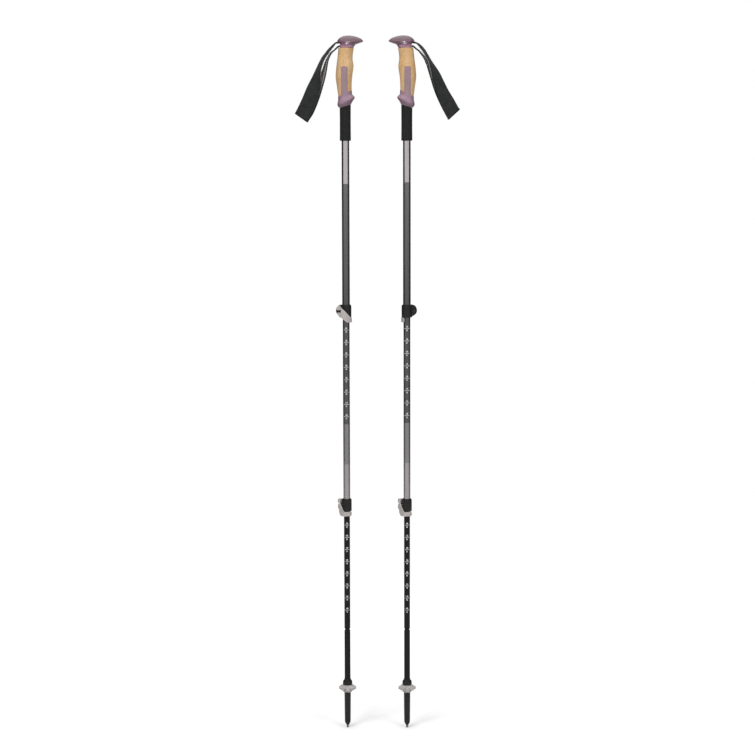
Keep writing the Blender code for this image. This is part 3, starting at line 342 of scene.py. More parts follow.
# How finely shapes are divided
ROUND_SEGMENTS = 64
GRIP_SEGMENTS = 64
SMALL_SEGMENTS = 32
BASKET_SEGMENTS = 160
GRIP_RINGS = 48
HEAD_RINGS = 56
COLLAR_RINGS = 36
FOAM_RINGS = 24
STRIP_COLUMNS = 16
STRIP_ROWS = 60
GROOVE_STEPS = 12
TICK_STEPS = 6
SHOULDER_STEPS = 10
DOME_STEPS = 14
FLAG_COLUMNS = 12
ARC_STEP = 5
CURVE_STEP = 0.004
SMOOTH_ANGLE = 38

# Camera, worked out from the photo's perspective
IMAGE_PIXELS = 755
FOCAL_PIXELS = 2000
SENSOR = 36
CAMERA_DISTANCE = 4.013
CAMERA_PITCH = 6.9
CAMERA_ROLL = -0.13
CAMERA_TARGET = Vector((0.0625, 0, TIP_END + 0.7216))

# Floor: its glow under the poles and far from them, and where the one starts to turn into the other
FLOOR_SIZE = 1.4
FLOOR_TONE = (232, 232, 232)
FLOOR_GLOW = 0.27
FLOOR_FAR_GLOW = 0.46
FLOOR_GLOW_START = 0.15
FLOOR_GLOW_END = 0.70
SURROUND_LIGHT = 0.35
# Lamps: place, width and height, and power
SOFT_BOXES = {
    "key": ((-1.5, -2.4, 2.0), (1.4, 1.4), 64),
    "fill": ((2.0, -2.6, 0.9), (1.4, 2.2), 38),
    "top": ((0.0, -0.3, 2.2), (1.4, 1.4), 34),
}
SPARK = ((POLE_SPACING / 2, -0.8, -1.15), (0.04, 0.04), 26)
# Black cards that show in reflections only: the angles from the camera between which each one stands
FLAGS = {"right_flag": (68, 160), "left_flag": (200, 292)}
FLAG_DISTANCE = 2.6
FLAG_HEIGHT = 3.5
FLAG_TONE = (0.01, 0.01, 0.01, 1)

# Painted shade and sheen on the rubber: its tones where it faces down, to the side, a little up and up, as
# seen on a screen
RUBBER_PAINTED_SHADE_TONES = {
    "head_rubber": ((104, 58, 84), (168, 125, 146), (104, 82, 91), (108, 90, 96)),
    "strip_rubber": ((140, 112, 122), (150, 125, 132), (150, 125, 132), (140, 118, 124)),
    "collar_rubber": ((104, 76, 91), (150, 122, 138), (155, 127, 143), (146, 120, 134)),
}
RUBBER_PAINTED_SHADE_STOPS = (0.2, 0.48, 0.62, 0.9)
# Painted shadow under a head's rim: lower and upper height, and the shade half way between them
HEAD_RIM_PAINTED_SHADOW = (CORK_TOP + 0.0020, CORK_TOP + 0.0150, (0.54, 0.42, 0.52))
# Where the upper tube darkens downwards: lower and upper height, and the shade at the lower one
TUBE_FADE = (UPPER_LOCK_TOP, BARE_END, (205, 205, 205))
WHITE = (255, 255, 255)

PLACES = {
    "left": Matrix.Identity(4),
    "right": Matrix.Translation((POLE_SPACING, -RIGHT_POLE_FORWARD, 0)) @ Matrix.Rotation(math.pi, 4, "Z"),
}


# Meshes


def mesh_from(bm, name, closed=True):
    """Turns a bmesh into a mesh; the faces of a closed one are made to point out."""
    if closed:
        bmesh.ops.recalc_face_normals(bm, faces=bm.faces)
    mesh = bpy.data.meshes.new(name)
    bm.to_mesh(mesh)
    bm.free()
    return mesh


def add_object(name, data):
    """An object in the scene."""
    item = bpy.data.objects.new(name, data)
    bpy.context.scene.collection.objects.link(item)
    return item


def skin(bm, rows, closed=False):
    """Faces between neighbouring rows of points; closed joins each row's end to its start."""
    for near, far in zip(rows, rows[1:]):
        for i in range(len(near) if closed else len(near) - 1):
            j = (i + 1) % len(near)
            bm.faces.new((near[i], near[j], far[j], far[i]))


def lathe(profile, segments=ROUND_SEGMENTS, ring=False):
    """A solid of revolution about Z from (radius, height) points; ring closes the profile on itself."""
    bm = bmesh.new()
    points = [bm.verts.new((radius, 0, height)) for radius, height in profile]
    lines = [bm.edges.new(pair) for pair in zip(points, points[1:])]
    if ring:
        lines.append(bm.edges.new((points[-1], points[0])))
    bmesh.ops.spin(
        bm,
        geom=points + lines,
        cent=(0, 0, 0),
        axis=(0, 0, 1),
        angle=math.tau,
        steps=segments,
        use_merge=True,
    )
    bmesh.ops.remove_doubles(bm, verts=bm.verts, dist=1e-7)
    return mesh_from(bm, "lathe")


def loft(rings, ring=False):
    """A solid through rings of points: capped at both ends, or joined end to end if ring is set."""
    bm = bmesh.new()
    rows = [[bm.verts.new(point) for point in points] for points in rings]
    if ring:
        rows.append(rows[0])
    else:
        bm.faces.new(rows[0])
        bm.faces.new(rows[-1])
    skin(bm, rows, closed=True)
    return mesh_from(bm, "loft")


def prism(outline, sides):
    """An outline in X and Z run from one value of Y to another."""
    return loft([[(x, y, z) for x, z in outline] for y in sides])


def rod(start, end, radius, segments=SMALL_SEGMENTS):
    """A round bar between two points."""
    start, end = Vector(start), Vector(end)
    turn = (end - start).to_track_quat("Z", "Y").to_matrix().to_4x4()
    bm = bmesh.new()
    bmesh.ops.create_cone(
        bm,
        cap_ends=True,
        segments=segments,
        radius1=radius,
        radius2=radius,
        depth=(end - start).length,
        matrix=Matrix.Translation((start + end) / 2) @ turn,
    )
    return mesh_from(bm, "rod")


def block(low, high):
    """A box between two corners."""
    size = [b - a for a, b in zip(low, high)]
    middle = [(a + b) / 2 for a, b in zip(low, high)]
    bm = bmesh.new()
    bmesh.ops.create_cube(bm, size=1, matrix=Matrix.Translation(middle) @ Matrix.Diagonal((*size, 1)))
    return mesh_from(bm, "block")


def evaluated(item):
    """The mesh that an object's modifiers make, with the object itself taken away again."""
    graph = bpy.context.evaluated_depsgraph_get()
    result = bpy.data.meshes.new_from_object(item.evaluated_get(graph))
    bpy.data.objects.remove(item)
    return result


def combined(mesh, tool, operation):
    """The mesh after a Boolean with a second mesh."""
    base, other = add_object("base", mesh), add_object("tool", tool)
    modifier = base.modifiers.new("combine", "BOOLEAN")
    modifier.operation = operation
    modifier.object = other
    result = evaluated(base)
    bpy.data.objects.remove(other)
    return result


def cut(mesh, *tools):
    """The mesh with each tool taken out of it."""
    for tool in tools:
        mesh = combined(mesh, tool, "DIFFERENCE")
    return mesh


def joined(mesh, *others):
    """The mesh united with the others as one body."""
    for other in others:
        mesh = combined(mesh, other, "UNION")
    return mesh


def eased(share):
    """A smooth step from 0 to 1."""
    share = min(max(share, 0), 1)
    return share * share * (3 - 2 * share)


def powered(value, power):
    """A value's size raised to a power, with its sign kept."""
    return math.copysign(abs(value) ** power, value)


def between(stations, at):
    """The smooth curve through the stations, read at one value of their first number."""
    last = len(stations) - 1
    index = 0
    while index < last - 1 and at > stations[index + 1][0]:
        index += 1
    before, start = stations[max(index - 1, 0)], stations[index]
    end, after = stations[index + 1], stations[min(index + 2, last)]
    span = end[0] - start[0]
    share = (at - start[0]) / span
    values = []
    for k in range(1, len(start)):
        slope_in = (end[k] - before[k]) / (end[0] - before[0]) * span
        slope_out = (after[k] - start[k]) / (after[0] - start[0]) * span
        rise = share * share * (3 - 2 * share)
        values.append(
            start[k] * (1 - rise)
            + end[k] * rise
            + slope_in * share * (1 - share) ** 2
            - slope_out * share * share * (1 - share)
        )
    return values


def egg(rear, front, half_width, taper, height, slant=0.0, squareness=0.0):
    """A ring of points round an egg shape that narrows to the front; slant lifts the front."""
    middle = (front + rear) / 2
    reach = (front - rear) / 2
    points = []
    for i in range(GRIP_SEGMENTS):
        angle = math.tau * i / GRIP_SEGMENTS
        x = middle + reach * math.cos(angle)
        y = half_width * powered(math.sin(angle), 1 - squareness) * (1 - taper * math.cos(angle))
        points.append((x, y, height + slant * x))
    return points


def circle(radius, height, slant=0.0):
    """A ring of points round the pole axis."""
    return egg(-radius, radius, radius, 0, height, slant)


# Grip


def cork_walls(share):
    """How far the cork reaches to the rear, the front and the sides at a share of the way down."""
    return [GRIP_BORE + wall for wall in between(CORK_STATIONS, share)]


def cork_ring(share):
    """One ring of the cork's outside."""
    rear, front, side = cork_walls(share)
    ending = share**CORK_SLANT_POWER
    height = CORK_TOP - share * CORK_LENGTH + CORK_LIFT * ending
    return egg(-rear, front, side, CORK_TAPER, height, CORK_END_SLANT * ending)


def cork_side(x, z):
    """The cork's half width at a place along its length."""
    rear, front, side = cork_walls(min(max((CORK_TOP - z) / CORK_LENGTH, 0), 1))
    share = (x - (front - rear) / 2) / ((front + rear) / 2)
    return side * math.sqrt(max(1 - share * share, 0)) * (1 - CORK_TAPER * share)


def cork_mesh():
    """The cork sleeve, with its upper edge rounded over."""
    rings = [cork_ring(i / GRIP_RINGS) for i in range(GRIP_RINGS + 1)]
    inset = 1 - CORK_EDGE / GRIP_BORE
    top = [(x * inset, y * inset, z) for x, y, z in rings[0]]
    rings[0] = [(x, y, z - CORK_EDGE) for x, y, z in rings[0]]
    bore = [circle(GRIP_BORE, COLLAR_TOP + CORK_LIFT, CORK_END_SLANT), circle(GRIP_BORE, CORK_TOP)]
    return loft([top] + rings + bore, ring=True)


def strip_mesh(side):
    """The rubber strip up one side: a band laid on the cork, with its edges rolled into it."""
    half = STRIP_WIDTH / 2
    top = COLLAR_TOP + STRIP_LENGTH
    foot = COLLAR_TOP - COLLAR_HEIGHT / 3
    bm = bmesh.new()
    rows = []
    for i in range(STRIP_ROWS + 1):
        z = top - (top - foot) * (i / STRIP_ROWS) ** STRIP_ROW_POWER
        below = top - z
        reach = half
        if below < STRIP_CORNER:
            reach = half - STRIP_CORNER + math.sqrt(STRIP_CORNER**2 - (STRIP_CORNER - below) ** 2)
        row = []
        for j in range(STRIP_COLUMNS + 1):
            across = math.sin(math.pi * (j / STRIP_COLUMNS - 0.5))
            x = reach * across - STRIP_SET_BACK
            inset = min(reach * (1 - abs(across)), below)
            lift = STRIP_PROUD + STRIP_SINK * (eased(inset / STRIP_EDGE) - 1)
            row.append(bm.verts.new((x, side * (cork_side(x, z) + lift), z)))
        rows.append(row)
    skin(bm, rows)
    back = bmesh.ops.extrude_face_region(bm, geom=list(bm.faces))["geom"]
    for item in back:
        if isinstance(item, bmesh.types.BMVert):
            item.co.y = side * (abs(item.co.y) - STRIP_SINK)
    return mesh_from(bm, "strip")


def collar_mesh():
    """The slanted rubber ring under the cork, with its front peg."""
    top = COLLAR_TOP + CORK_LIFT - FIT_GAP
    rings = []
    for i in range(COLLAR_RINGS + 1):
        share = i / COLLAR_RINGS
        rear, front, side = (GRIP_BORE + wall for wall in between(COLLAR_STATIONS, share))
        height = top + (COLLAR_BOTTOM - top) * share
        slant = CORK_END_SLANT + (COLLAR_SLANT - CORK_END_SLANT) * share
        rings.append(egg(-rear, front, side, CORK_TAPER, height, slant))
    rings += [circle(GRIP_BORE, COLLAR_BOTTOM, COLLAR_SLANT), circle(GRIP_BORE, top, CORK_END_SLANT)]
    return loft(rings, ring=True)


def foam_mesh():
    """The foam tube under the collar, with a rounded lower lip and a faint waist."""
    bore = UPPER_RADIUS + FIT_GAP
    outside = bore + FOAM_THICKNESS
    top = COLLAR_BOTTOM - FIT_GAP
    rings = []
    for i in range(FOAM_RINGS + 1):
        share = i / FOAM_RINGS
        height = top + (FOAM_BOTTOM + FOAM_LIP - top) * share
        radius = outside - FOAM_WAIST * math.sin(math.pi * share)
        rings.append(circle(radius, height, COLLAR_SLANT * (1 - share) ** FOAM_SLANT_POWER))
    for angle in (30, 60, 90):
        turn = math.radians(angle)
        radius = outside - FOAM_LIP * (1 - math.cos(turn))
        rings.append(circle(radius, FOAM_BOTTOM + FOAM_LIP * (1 - math.sin(turn))))
    rings += [circle(bore, FOAM_BOTTOM), circle(bore, top, COLLAR_SLANT)]
    return loft(rings, ring=True)


def head_mesh():
    """The cap with its beak, a spigot down into the shaft and a pocket for the strap."""
    lowest, highest = HEAD_STATIONS[0][0], HEAD_STATIONS[-1][0]
    rings = []
    for i in range(HEAD_RINGS + 1):
        rise = lowest + (highest - lowest) * math.sin(math.pi / 2 * i / HEAD_RINGS)
        rear, front, side = between(HEAD_STATIONS, rise)
        upper = eased(rise / POCKET_CEILING)
        square = NECK_SQUARENESS * (1 - upper)
        rings.append(egg(rear, front, side, HEAD_TAPER * upper, CORK_TOP + rise, squareness=square))
    spigot = rod((0, 0, CORK_TOP - SPIGOT_LENGTH), (0, 0, CORK_TOP + POCKET_FLOOR / 2),
                 UPPER_RADIUS - SHAFT_WALL - FIT_GAP)
    far = 3 * HEAD_STATIONS[0][1]
    outline = [
        (far, -POCKET_FLOOR),
        (MOUTH_FRONT, -POCKET_FLOOR),
        (MOUTH_FRONT, POCKET_FLOOR),
        (POCKET_FRONT, POCKET_FLOOR),
        (POCKET_FRONT, POCKET_CEILING),
        (far, POCKET_CEILING),
    ]
    pocket = prism([(x, CORK_TOP + rise) for x, rise in outline], (-POCKET_HALF_WIDTH, POCKET_HALF_WIDTH))
    return cut(joined(loft(rings), spigot), pocket)


# Strap


def strap_stations(side):
    """Stations down the outer band, round the fold and up the inner band.

    Each is the centre, the direction out of the loop and the half width across.
    """
    outer = band_stations(OUTER_BAND[side], 1, FOLD_SLANT[side])
    inner = band_stations(INNER_BAND[side], -1, FOLD_SLANT[side])
    top, facing, across = outer[-1]
    end = (top + inner[-1][0]) / 2
    along = facing.cross(across).normalized()
    if along.z > 0:
        along = -along
    fold = []
    for i in range(1, FOLD_STEPS):
        angle = math.pi * i / FOLD_STEPS
        out = math.cos(angle) * facing + math.sin(angle) * along
        fold.append((end + out * STRAP_FOLD_GAP / 2, out, across))
    back = [(centre, -face, half) for centre, face, half in reversed(inner)]
    mirror = Matrix.Diagonal((1, STRAP_HAND[side], 1))
    return [[mirror @ vector for vector in station] for station in outer + fold + back]


def band_stations(band, outward, slant):
    """Stations down one band of the strap, with its twist; outward is 1 outside and -1 inside."""
    numbered = [(i / (len(band) - 1), *values) for i, values in enumerate(band)]
    stations = []
    for i in range(STRAP_STEPS + 1):
        share = i / STRAP_STEPS
        x, rise, twist = between(numbered, share)
        before = between(numbered, max(share - CURVE_STEP, 0))
        after = between(numbered, min(share + CURVE_STEP, 1))
        along = Vector((after[0] - before[0], 0, after[1] - before[1])).normalized()
        normal = Vector((along.z, 0, -along.x))
        angle = math.radians(twist)
        facing = math.cos(angle) * normal + math.sin(angle) * Vector((0, -1, 0))
        apart = STRAP_FOLD_GAP / 2 * eased(share)
        width = STRAP_ROOT_WIDTH + (STRAP_WIDTH - STRAP_ROOT_WIDTH) * eased(share / STRAP_WIDENING)
        centre = Vector((x, -apart * outward, CORK_TOP + rise))
        lean = math.tan(math.radians(slant)) * eased((share - 1) / FOLD_SLANT_SHARE + 1)
        across = (along.cross(facing).normalized() - along * lean) * (width / 2)
        stations.append((centre, facing, across))
    return stations


def padding(share):
    """How thick the lining is at a share of the way round the loop."""
    start = eased((share - PADDING_START) / PADDING_EASE)
    end = eased((PADDING_END - share) / PADDING_EASE)
    return LINING_THICKNESS + LINING_PADDING * start * end


def ribbon(stations, lining=False):
    """The webbing, or its lining, with rounded edges, and its breadth and length as UVs in metres."""
    rings, places = [], []
    length = 0
    for i, (centre, facing, half) in enumerate(stations):
        if i:
            length += (centre - stations[i - 1][0]).length
        thickness, offset, reach = STRAP_THICKNESS, 0, 1
        if lining:
            thickness = padding(i / (len(stations) - 1))
            offset = -(STRAP_THICKNESS + thickness) / 2
            reach = LINING_SHARE
        ring = []
        for k in range(STRAP_SIDES):
            angle = math.tau * (k + 0.5) / STRAP_SIDES
            breadth = powered(math.cos(angle), STRAP_EDGE_POWER) * reach
            depth = powered(math.sin(angle), STRAP_FACE_POWER) * thickness / 2 + offset
            ring.append(centre + half * breadth + facing * depth)
            places.append((breadth * half.length, length))
        rings.append(ring)
    mesh = loft(rings)
    layer = mesh.uv_layers.new(name="cloth")
    for loop in mesh.loops:
        layer.data[loop.index].uv = places[loop.vertex_index]
    return mesh, length


def stitch_mesh(stations):
    """Rows of short raised stitches along both edges, on the webbing and on its lining."""
    bm = bmesh.new()
    travelled = 0
    for i, ((centre, facing, half), (ahead, _, _)) in enumerate(zip(stations, stations[1:])):
        step = ahead - centre
        count_before = math.floor(travelled / STITCH_PITCH)
        travelled += step.length
        if math.floor(travelled / STITCH_PITCH) == count_before:
            continue
        along = step.normalized()
        across = half.normalized()
        axes = Matrix((along * STITCH_LENGTH, across * STITCH_WIDTH, facing * STITCH_WIDTH)).transposed()
        inside = -STRAP_THICKNESS / 2 - padding(i / (len(stations) - 1))
        for line in STITCH_LINES:
            for offset in (STRAP_THICKNESS / 2, inside):
                place = Matrix.Translation(centre + half * line + facing * offset) @ axes.to_4x4()
                bmesh.ops.create_icosphere(bm, subdivisions=1, radius=0.5, matrix=place)
    return mesh_from(bm, "stitches")


# Shafts


def tube_mesh(radius, heights):
    """A tube through the given heights, from its top to its bottom, with both ends eased."""
    inner = radius - SHAFT_WALL
    edge = SHAFT_WALL / 3
    outside = [(radius - edge, heights[0]), (radius, heights[0] - edge)]
    outside += [(radius, height) for height in heights[1:-1]]
    outside += [(radius, heights[-1] + edge), (radius - edge, heights[-1])]
    return lathe(outside + [(inner, heights[-1]), (inner, heights[0])], ring=True)


def lower_tube_mesh(top, bottom):
    """The lower tube, with a groove rolled into its wall."""
    outside = [(LOWER_RADIUS, top)]
    for i in range(GROOVE_STEPS + 1):
        share = i / GROOVE_STEPS
        depth = GROOVE_DEPTH * math.sin(math.pi * share) ** 2
        outside.append((LOWER_RADIUS - depth, GROOVE_HEIGHT + GROOVE_LENGTH * (0.5 - share)))
    outside.append((LOWER_RADIUS, bottom))
    inside = [(radius - SHAFT_WALL, height) for radius, height in reversed(outside)]
    return lathe(outside + inside, ring=True)


def number_mesh(words):
    """A number as a flat mesh in X and Y, centred, with its lower edge at zero."""
    curve = bpy.data.curves.new("number", "FONT")
    curve.body = words
    curve.size = NUMBER_HEIGHT / DIGIT_SHARE
    curve.align_x = "CENTER"
    curve.resolution_u = 3
    curve.offset = NUMBER_WEIGHT
    return evaluated(add_object("number", curve))


def scale_mesh(radius, lowest):
    """The printed length scale: at each tick a line with a number over and under it, on two sides."""
    bm = bmesh.new()
    reach = radius + PRINT_PROUD

    def wrapped(across, height, side):
        angle = across / radius + side
        return (reach * math.sin(angle), -reach * math.cos(angle), height)

    for i, centimetres in enumerate(SCALE_CENTIMETRES):
        level = TIP_END + lowest + SCALE_PITCH * i
        inches = round(centimetres / CENTIMETRES_PER_INCH)
        labels = ((str(centimetres), level + NUMBER_GAP), (str(inches), level - NUMBER_GAP - NUMBER_HEIGHT))
        for side in (0, math.pi):
            for words, foot in labels:
                flat = number_mesh(words)
                points = []
                for vertex in flat.vertices:
                    across = vertex.co.x * NUMBER_NARROWING
                    points.append(bm.verts.new(wrapped(across, foot + vertex.co.y, side)))
                for face in flat.polygons:
                    bm.faces.new([points[k] for k in face.vertices])
                bpy.data.meshes.remove(flat)
            half = math.radians(TICK_HALF_ANGLE) * radius
            rows = []
            for k in range(-TICK_STEPS, TICK_STEPS + 1):
                across = half * k / TICK_STEPS
                pair = [wrapped(across, level + end * TICK_HEIGHT / 2, side) for end in (1, -1)]
                rows.append([bm.verts.new(point) for point in pair])
            skin(bm, rows)
    return mesh_from(bm, "scale", closed=False)


# Lever locks


class Lock:
    """The pieces of a lever lock, with its origin on the pole axis at the clamp's top."""

    def __init__(self, outer_radius, inner_radius):
        self.bore = outer_radius + FIT_GAP
        self.lip = inner_radius + FIT_GAP
        self.ring = self.bore + CLAMP_WALL
        self.pin_x = -(self.ring + BOLT_OUT)
        self.pin_y = -(EAR_HALF_THICKNESS + FIT_GAP + KNUCKLE_RADIUS)
        self.pin = Vector((self.pin_x, self.pin_y, 0))

    def clamp(self):
        """The split clamp: a ring with rounded shoulders and a lip, and the ear beside it."""
        bottom = -CLAMP_HEIGHT
        profile = [(self.lip, bottom), (self.ring - CLAMP_EDGE, bottom)]
        for turn in (math.pi / 6, math.pi / 3, math.pi / 2):
            edge_inset, edge_rise = 1 - math.sin(turn), 1 - math.cos(turn)
            profile.append((self.ring - CLAMP_EDGE * edge_inset, bottom + CLAMP_EDGE * edge_rise))
        for i in range(SHOULDER_STEPS + 1):
            turn = math.pi / 2 * i / SHOULDER_STEPS
            inset = (CLAMP_WALL - CLAMP_EDGE / 2) * (1 - math.cos(turn))
            profile.append((self.ring - inset, CLAMP_SHOULDER * (math.sin(turn) - 1)))
        profile += [(self.bore, 0), (self.bore, bottom + CLAMP_LIP), (self.lip, bottom + CLAMP_LIP)]
        ring = lathe(profile, ring=True)
        opening = rod((0, 0, bottom * 2), (0, 0, CLAMP_HEIGHT), self.bore, ROUND_SEGMENTS)
        ear = cut(self.ear(), opening)
        far = 3 * self.pin_x
        split = block((far, -SPLIT_GAP / 2, bottom * 2), (0, SPLIT_GAP / 2, CLAMP_HEIGHT))
        hole = self.across(-2 * EAR_HALF_THICKNESS, 2 * EAR_HALF_THICKNESS, BOLT_RADIUS + FIT_GAP)
        seat = EAR_HALF_THICKNESS + NUT_PROUD - NUT_HEIGHT - FIT_GAP
        recess = self.across(seat, 2 * EAR_HALF_THICKNESS, NUT_RADIUS + FIT_GAP)
        return cut(joined(ring, ear), split, hole, recess)

    def ear(self):
        """The ear's outline: a round end, with its underside running in to the clamp's foot."""
        centre_x = EAR_INSET - self.ring
        outline = [(0, EAR_RADIUS - EAR_DEPTH)]
        for angle in range(*EAR_ARC, ARC_STEP):
            x = centre_x + EAR_RADIUS * math.cos(math.radians(angle))
            outline.append((x, EAR_RADIUS * math.sin(math.radians(angle)) - EAR_DEPTH))
        outline += [(-self.bore, CLAMP_EDGE - CLAMP_HEIGHT), (0, CLAMP_EDGE - CLAMP_HEIGHT)]
        return prism(outline, (-EAR_HALF_THICKNESS, EAR_HALF_THICKNESS))

    def across(self, start, end, radius):
        """A round bar along the bolt's line."""
        return rod((self.pin_x, start, -BOLT_DEPTH), (self.pin_x, end, -BOLT_DEPTH), radius)

    def upright(self, top, bottom, radius):
        """A round bar along the lever's hinge."""
        return rod((self.pin_x, self.pin_y, bottom), (self.pin_x, self.pin_y, top), radius)

    def lever(self):
        """The lever: two knuckles on the pin, and a band that falls as it wraps round the clamp."""
        root = math.degrees(math.atan2(self.pin_y, self.pin_x)) % 360
        first = root + LEVER_ROOT_INSET
        count = round((LEVER_TAIL_ANGLE - first) / LEVER_STEP)
        step = (LEVER_TAIL_ANGLE - first) / count
        band = loft([self.lever_ring(first + step * i, root) for i in range(count + 1)])
        hole = self.upright(0, -CLAMP_HEIGHT, HINGE_PIN_RADIUS + FIT_GAP)
        half = EYE_HEIGHT / 2 + FIT_GAP
        far = 3 * self.pin_x
        low = (far, far, -BOLT_DEPTH - half)
        high = (self.pin_x + KNUCKLE_RADIUS - FIT_GAP, 0, -BOLT_DEPTH + half)
        return cut(joined(self.knuckles(), band), self.lever_trim(), hole, block(low, high))

    def lever_ring(self, angle, root):
        """Four corners of the lever's band at one place round the clamp."""
        wrap = self.ring + LEVER_GAP + LEVER_THICKNESS / 2
        start = self.pin.length - LEVER_ROOT_SINK
        radius = start + (wrap - start) * eased((angle - root) / LEVER_ROOT_SPREAD)
        radius -= LEVER_TAIL_TUCK * eased((angle - LEVER_TUCK_START) / LEVER_TUCK_SPREAD)
        reach = math.cos(math.radians(min(angle, 360))) * wrap
        share = min(max((reach / self.ring + 1) / 2, 0), 1)
        top = LEVER_TOP + (CLAMP_HEIGHT + LEVER_GAP - LEVER_TOP) * min(share / LEVER_FALL, 1)
        foot = CLAMP_HEIGHT + LEVER_DROP - LEVER_ROOT_HEIGHT
        bottom = LEVER_ROOT_HEIGHT + foot * eased(share / LEVER_FOOT)
        end = LEVER_TAIL_ROUNDING * eased((angle - LEVER_TAIL_ANGLE) / LEVER_TAIL_SPREAD + 1)
        x, y = math.cos(math.radians(angle)), math.sin(math.radians(angle))
        inner, outer = radius - LEVER_THICKNESS / 2, radius + LEVER_THICKNESS / 2
        high, low = -top - end, end - bottom
        corners = ((inner, high), (outer, high), (outer, low), (inner, low))
        return [(x * out, y * out, height) for out, height in corners]

    def lever_trim(self):
        """What is taken off the hinge end, so that it is round above and slopes away below."""
        left = self.pin_x - KNUCKLE_RADIUS
        far = 3 * self.pin_x
        centre = (left + LEVER_END_RADIUS, -LEVER_TOP - LEVER_END_RADIUS)
        outline = [(far, CLAMP_HEIGHT), (centre[0], CLAMP_HEIGHT)]
        for angle in range(90, 181, ARC_STEP):
            x = centre[0] + LEVER_END_RADIUS * math.cos(math.radians(angle))
            outline.append((x, centre[1] + LEVER_END_RADIUS * math.sin(math.radians(angle))))
        outline.append((left, -LEVER_SLOPE_START))
        outline.append((0, -LEVER_SLOPE_START + LEVER_SLOPE * left))
        outline += [(0, -3 * CLAMP_HEIGHT), (far, -3 * CLAMP_HEIGHT)]
        return prism(outline, (far, 0))

    def knuckles(self):
        """The barrel round the hinge pin, with its ends rounded off."""
        profile = [
            (0, -LEVER_TOP),
            (KNUCKLE_RADIUS - KNUCKLE_EDGE, -LEVER_TOP),
            (KNUCKLE_RADIUS, -LEVER_TOP - KNUCKLE_EDGE),
            (KNUCKLE_RADIUS, KNUCKLE_EDGE - LEVER_ROOT_HEIGHT),
            (KNUCKLE_RADIUS - KNUCKLE_EDGE, -LEVER_ROOT_HEIGHT),
            (0, -LEVER_ROOT_HEIGHT),
        ]
        barrel = lathe(profile, SMALL_SEGMENTS)
        barrel.transform(Matrix.Translation(self.pin))
        return barrel


# Tip


def tip_holder_mesh():
    """The plastic tip: a dome, the basket's thread, a taper and a cone, hollow for the shaft and the tip."""
    socket_end = DOME_TOP - SOCKET_DEPTH
    socket = LOWER_RADIUS + FIT_GAP
    neck = socket + DOME_NECK_WALL
    shoulder = DOME_TOP - DOME_NECK
    profile = [(0, socket_end), (socket, socket_end), (socket, DOME_TOP), (neck, DOME_TOP)]
    for i in range(DOME_STEPS + 1):
        turn = math.pi / 2 * i / DOME_STEPS
        radius = neck + (DOME_RADIUS - neck) * math.sin(turn)
        height = BASKET_TOP + DOME_EDGE + (shoulder - BASKET_TOP - DOME_EDGE) * math.cos(turn)
        profile.append((radius, height))
    seat = CARBIDE_RADIUS - FIT_GAP
    profile += [
        (DOME_RADIUS, BASKET_TOP + FIT_GAP * 2),
        (DOME_RADIUS - FIT_GAP, BASKET_TOP + FIT_GAP),
        (THREAD_RADIUS, BASKET_TOP + FIT_GAP),
        (THREAD_RADIUS, BASKET_BOTTOM),
        (HOLDER_TOP_RADIUS, BASKET_BOTTOM - SOCKET_WALL),
        (HOLDER_END_RADIUS + TAPER_FLARE, TAPER_END + TAPER_FLARE_RISE),
        (HOLDER_END_RADIUS, TAPER_END + CONE_EDGE_RISE),
        (HOLDER_END_RADIUS - CONE_EDGE, TAPER_END - CONE_EDGE),
        (CARBIDE_RADIUS + FIT_GAP * 2, HOLDER_END + FIT_GAP),
        (CARBIDE_RADIUS + FIT_GAP, HOLDER_END),
        (seat, HOLDER_END),
        (seat, HOLDER_END + CARBIDE_SEAT),
        (0, HOLDER_END + CARBIDE_SEAT),
    ]
    return lathe(profile)


def basket_mesh():
    """The basket: a hub on the thread, and a disc that falls to a rim with rounded lobes."""
    bore = THREAD_RADIUS + FIT_GAP
    hub = bore + BASKET_HUB_WALL
    rim_top = BASKET_TOP - BASKET_RIM_DROP + BASKET_RIM_THICKNESS / 2
    rim_bottom = rim_top - BASKET_RIM_THICKNESS
    edge = BASKET_EDGE
    reach = BASKET_RADIUS - hub
    foot = rim_bottom - BASKET_FOOT
    # Radius, height, then how much of the lobes' depth and of their lift there is
    profile = (
        (bore, BASKET_TOP, 0, 0),
        (hub - edge, BASKET_TOP, 0, 0),
        (hub, BASKET_TOP - edge / 2, 0, 0),
        (hub + reach * 0.25, BASKET_TOP - BASKET_RIM_DROP * 0.20, 0.1, 0),
        (hub + reach * 0.5, (BASKET_TOP + rim_top) / 2, 0.4, 0),
        (hub + reach * 0.8, rim_top + edge * 1.6, 0.8, -0.2),
        (BASKET_RADIUS - edge, rim_top, 1, -0.4),
        (BASKET_RADIUS, rim_top - edge, 1, -0.4),
        (BASKET_RADIUS, rim_bottom + edge, 1, 1),
        (BASKET_RADIUS - edge, rim_bottom, 1, 1),
        (hub + reach * 0.7, rim_bottom - edge / 2, 0.7, 0.8),
        (hub + reach * 0.4, rim_bottom - BASKET_FOOT * 0.4, 0.4, 0.3),
        (hub + reach * 0.12, rim_bottom - BASKET_FOOT * 0.8, 0.1, 0),
        (hub, foot, 0, 0),
        (hub, BASKET_BOTTOM + edge, 0, 0),
        (hub - edge, BASKET_BOTTOM, 0, 0),
        (bore, BASKET_BOTTOM, 0, 0),
    )
    rings = []
    for radius, height, notched, lifted in profile:
        ring = []
        for i in range(BASKET_SEGMENTS):
            angle = math.tau * i / BASKET_SEGMENTS
            wave = ((1 - math.cos(BASKET_LOBES * angle)) / 2) ** 2
            out = radius - notched * LOBE_DEPTH * wave
            ring.append((out * math.cos(angle), out * math.sin(angle), height + lifted * LOBE_LIFT * wave))
        rings.append(ring)
    return loft(rings, ring=True)


# Materials


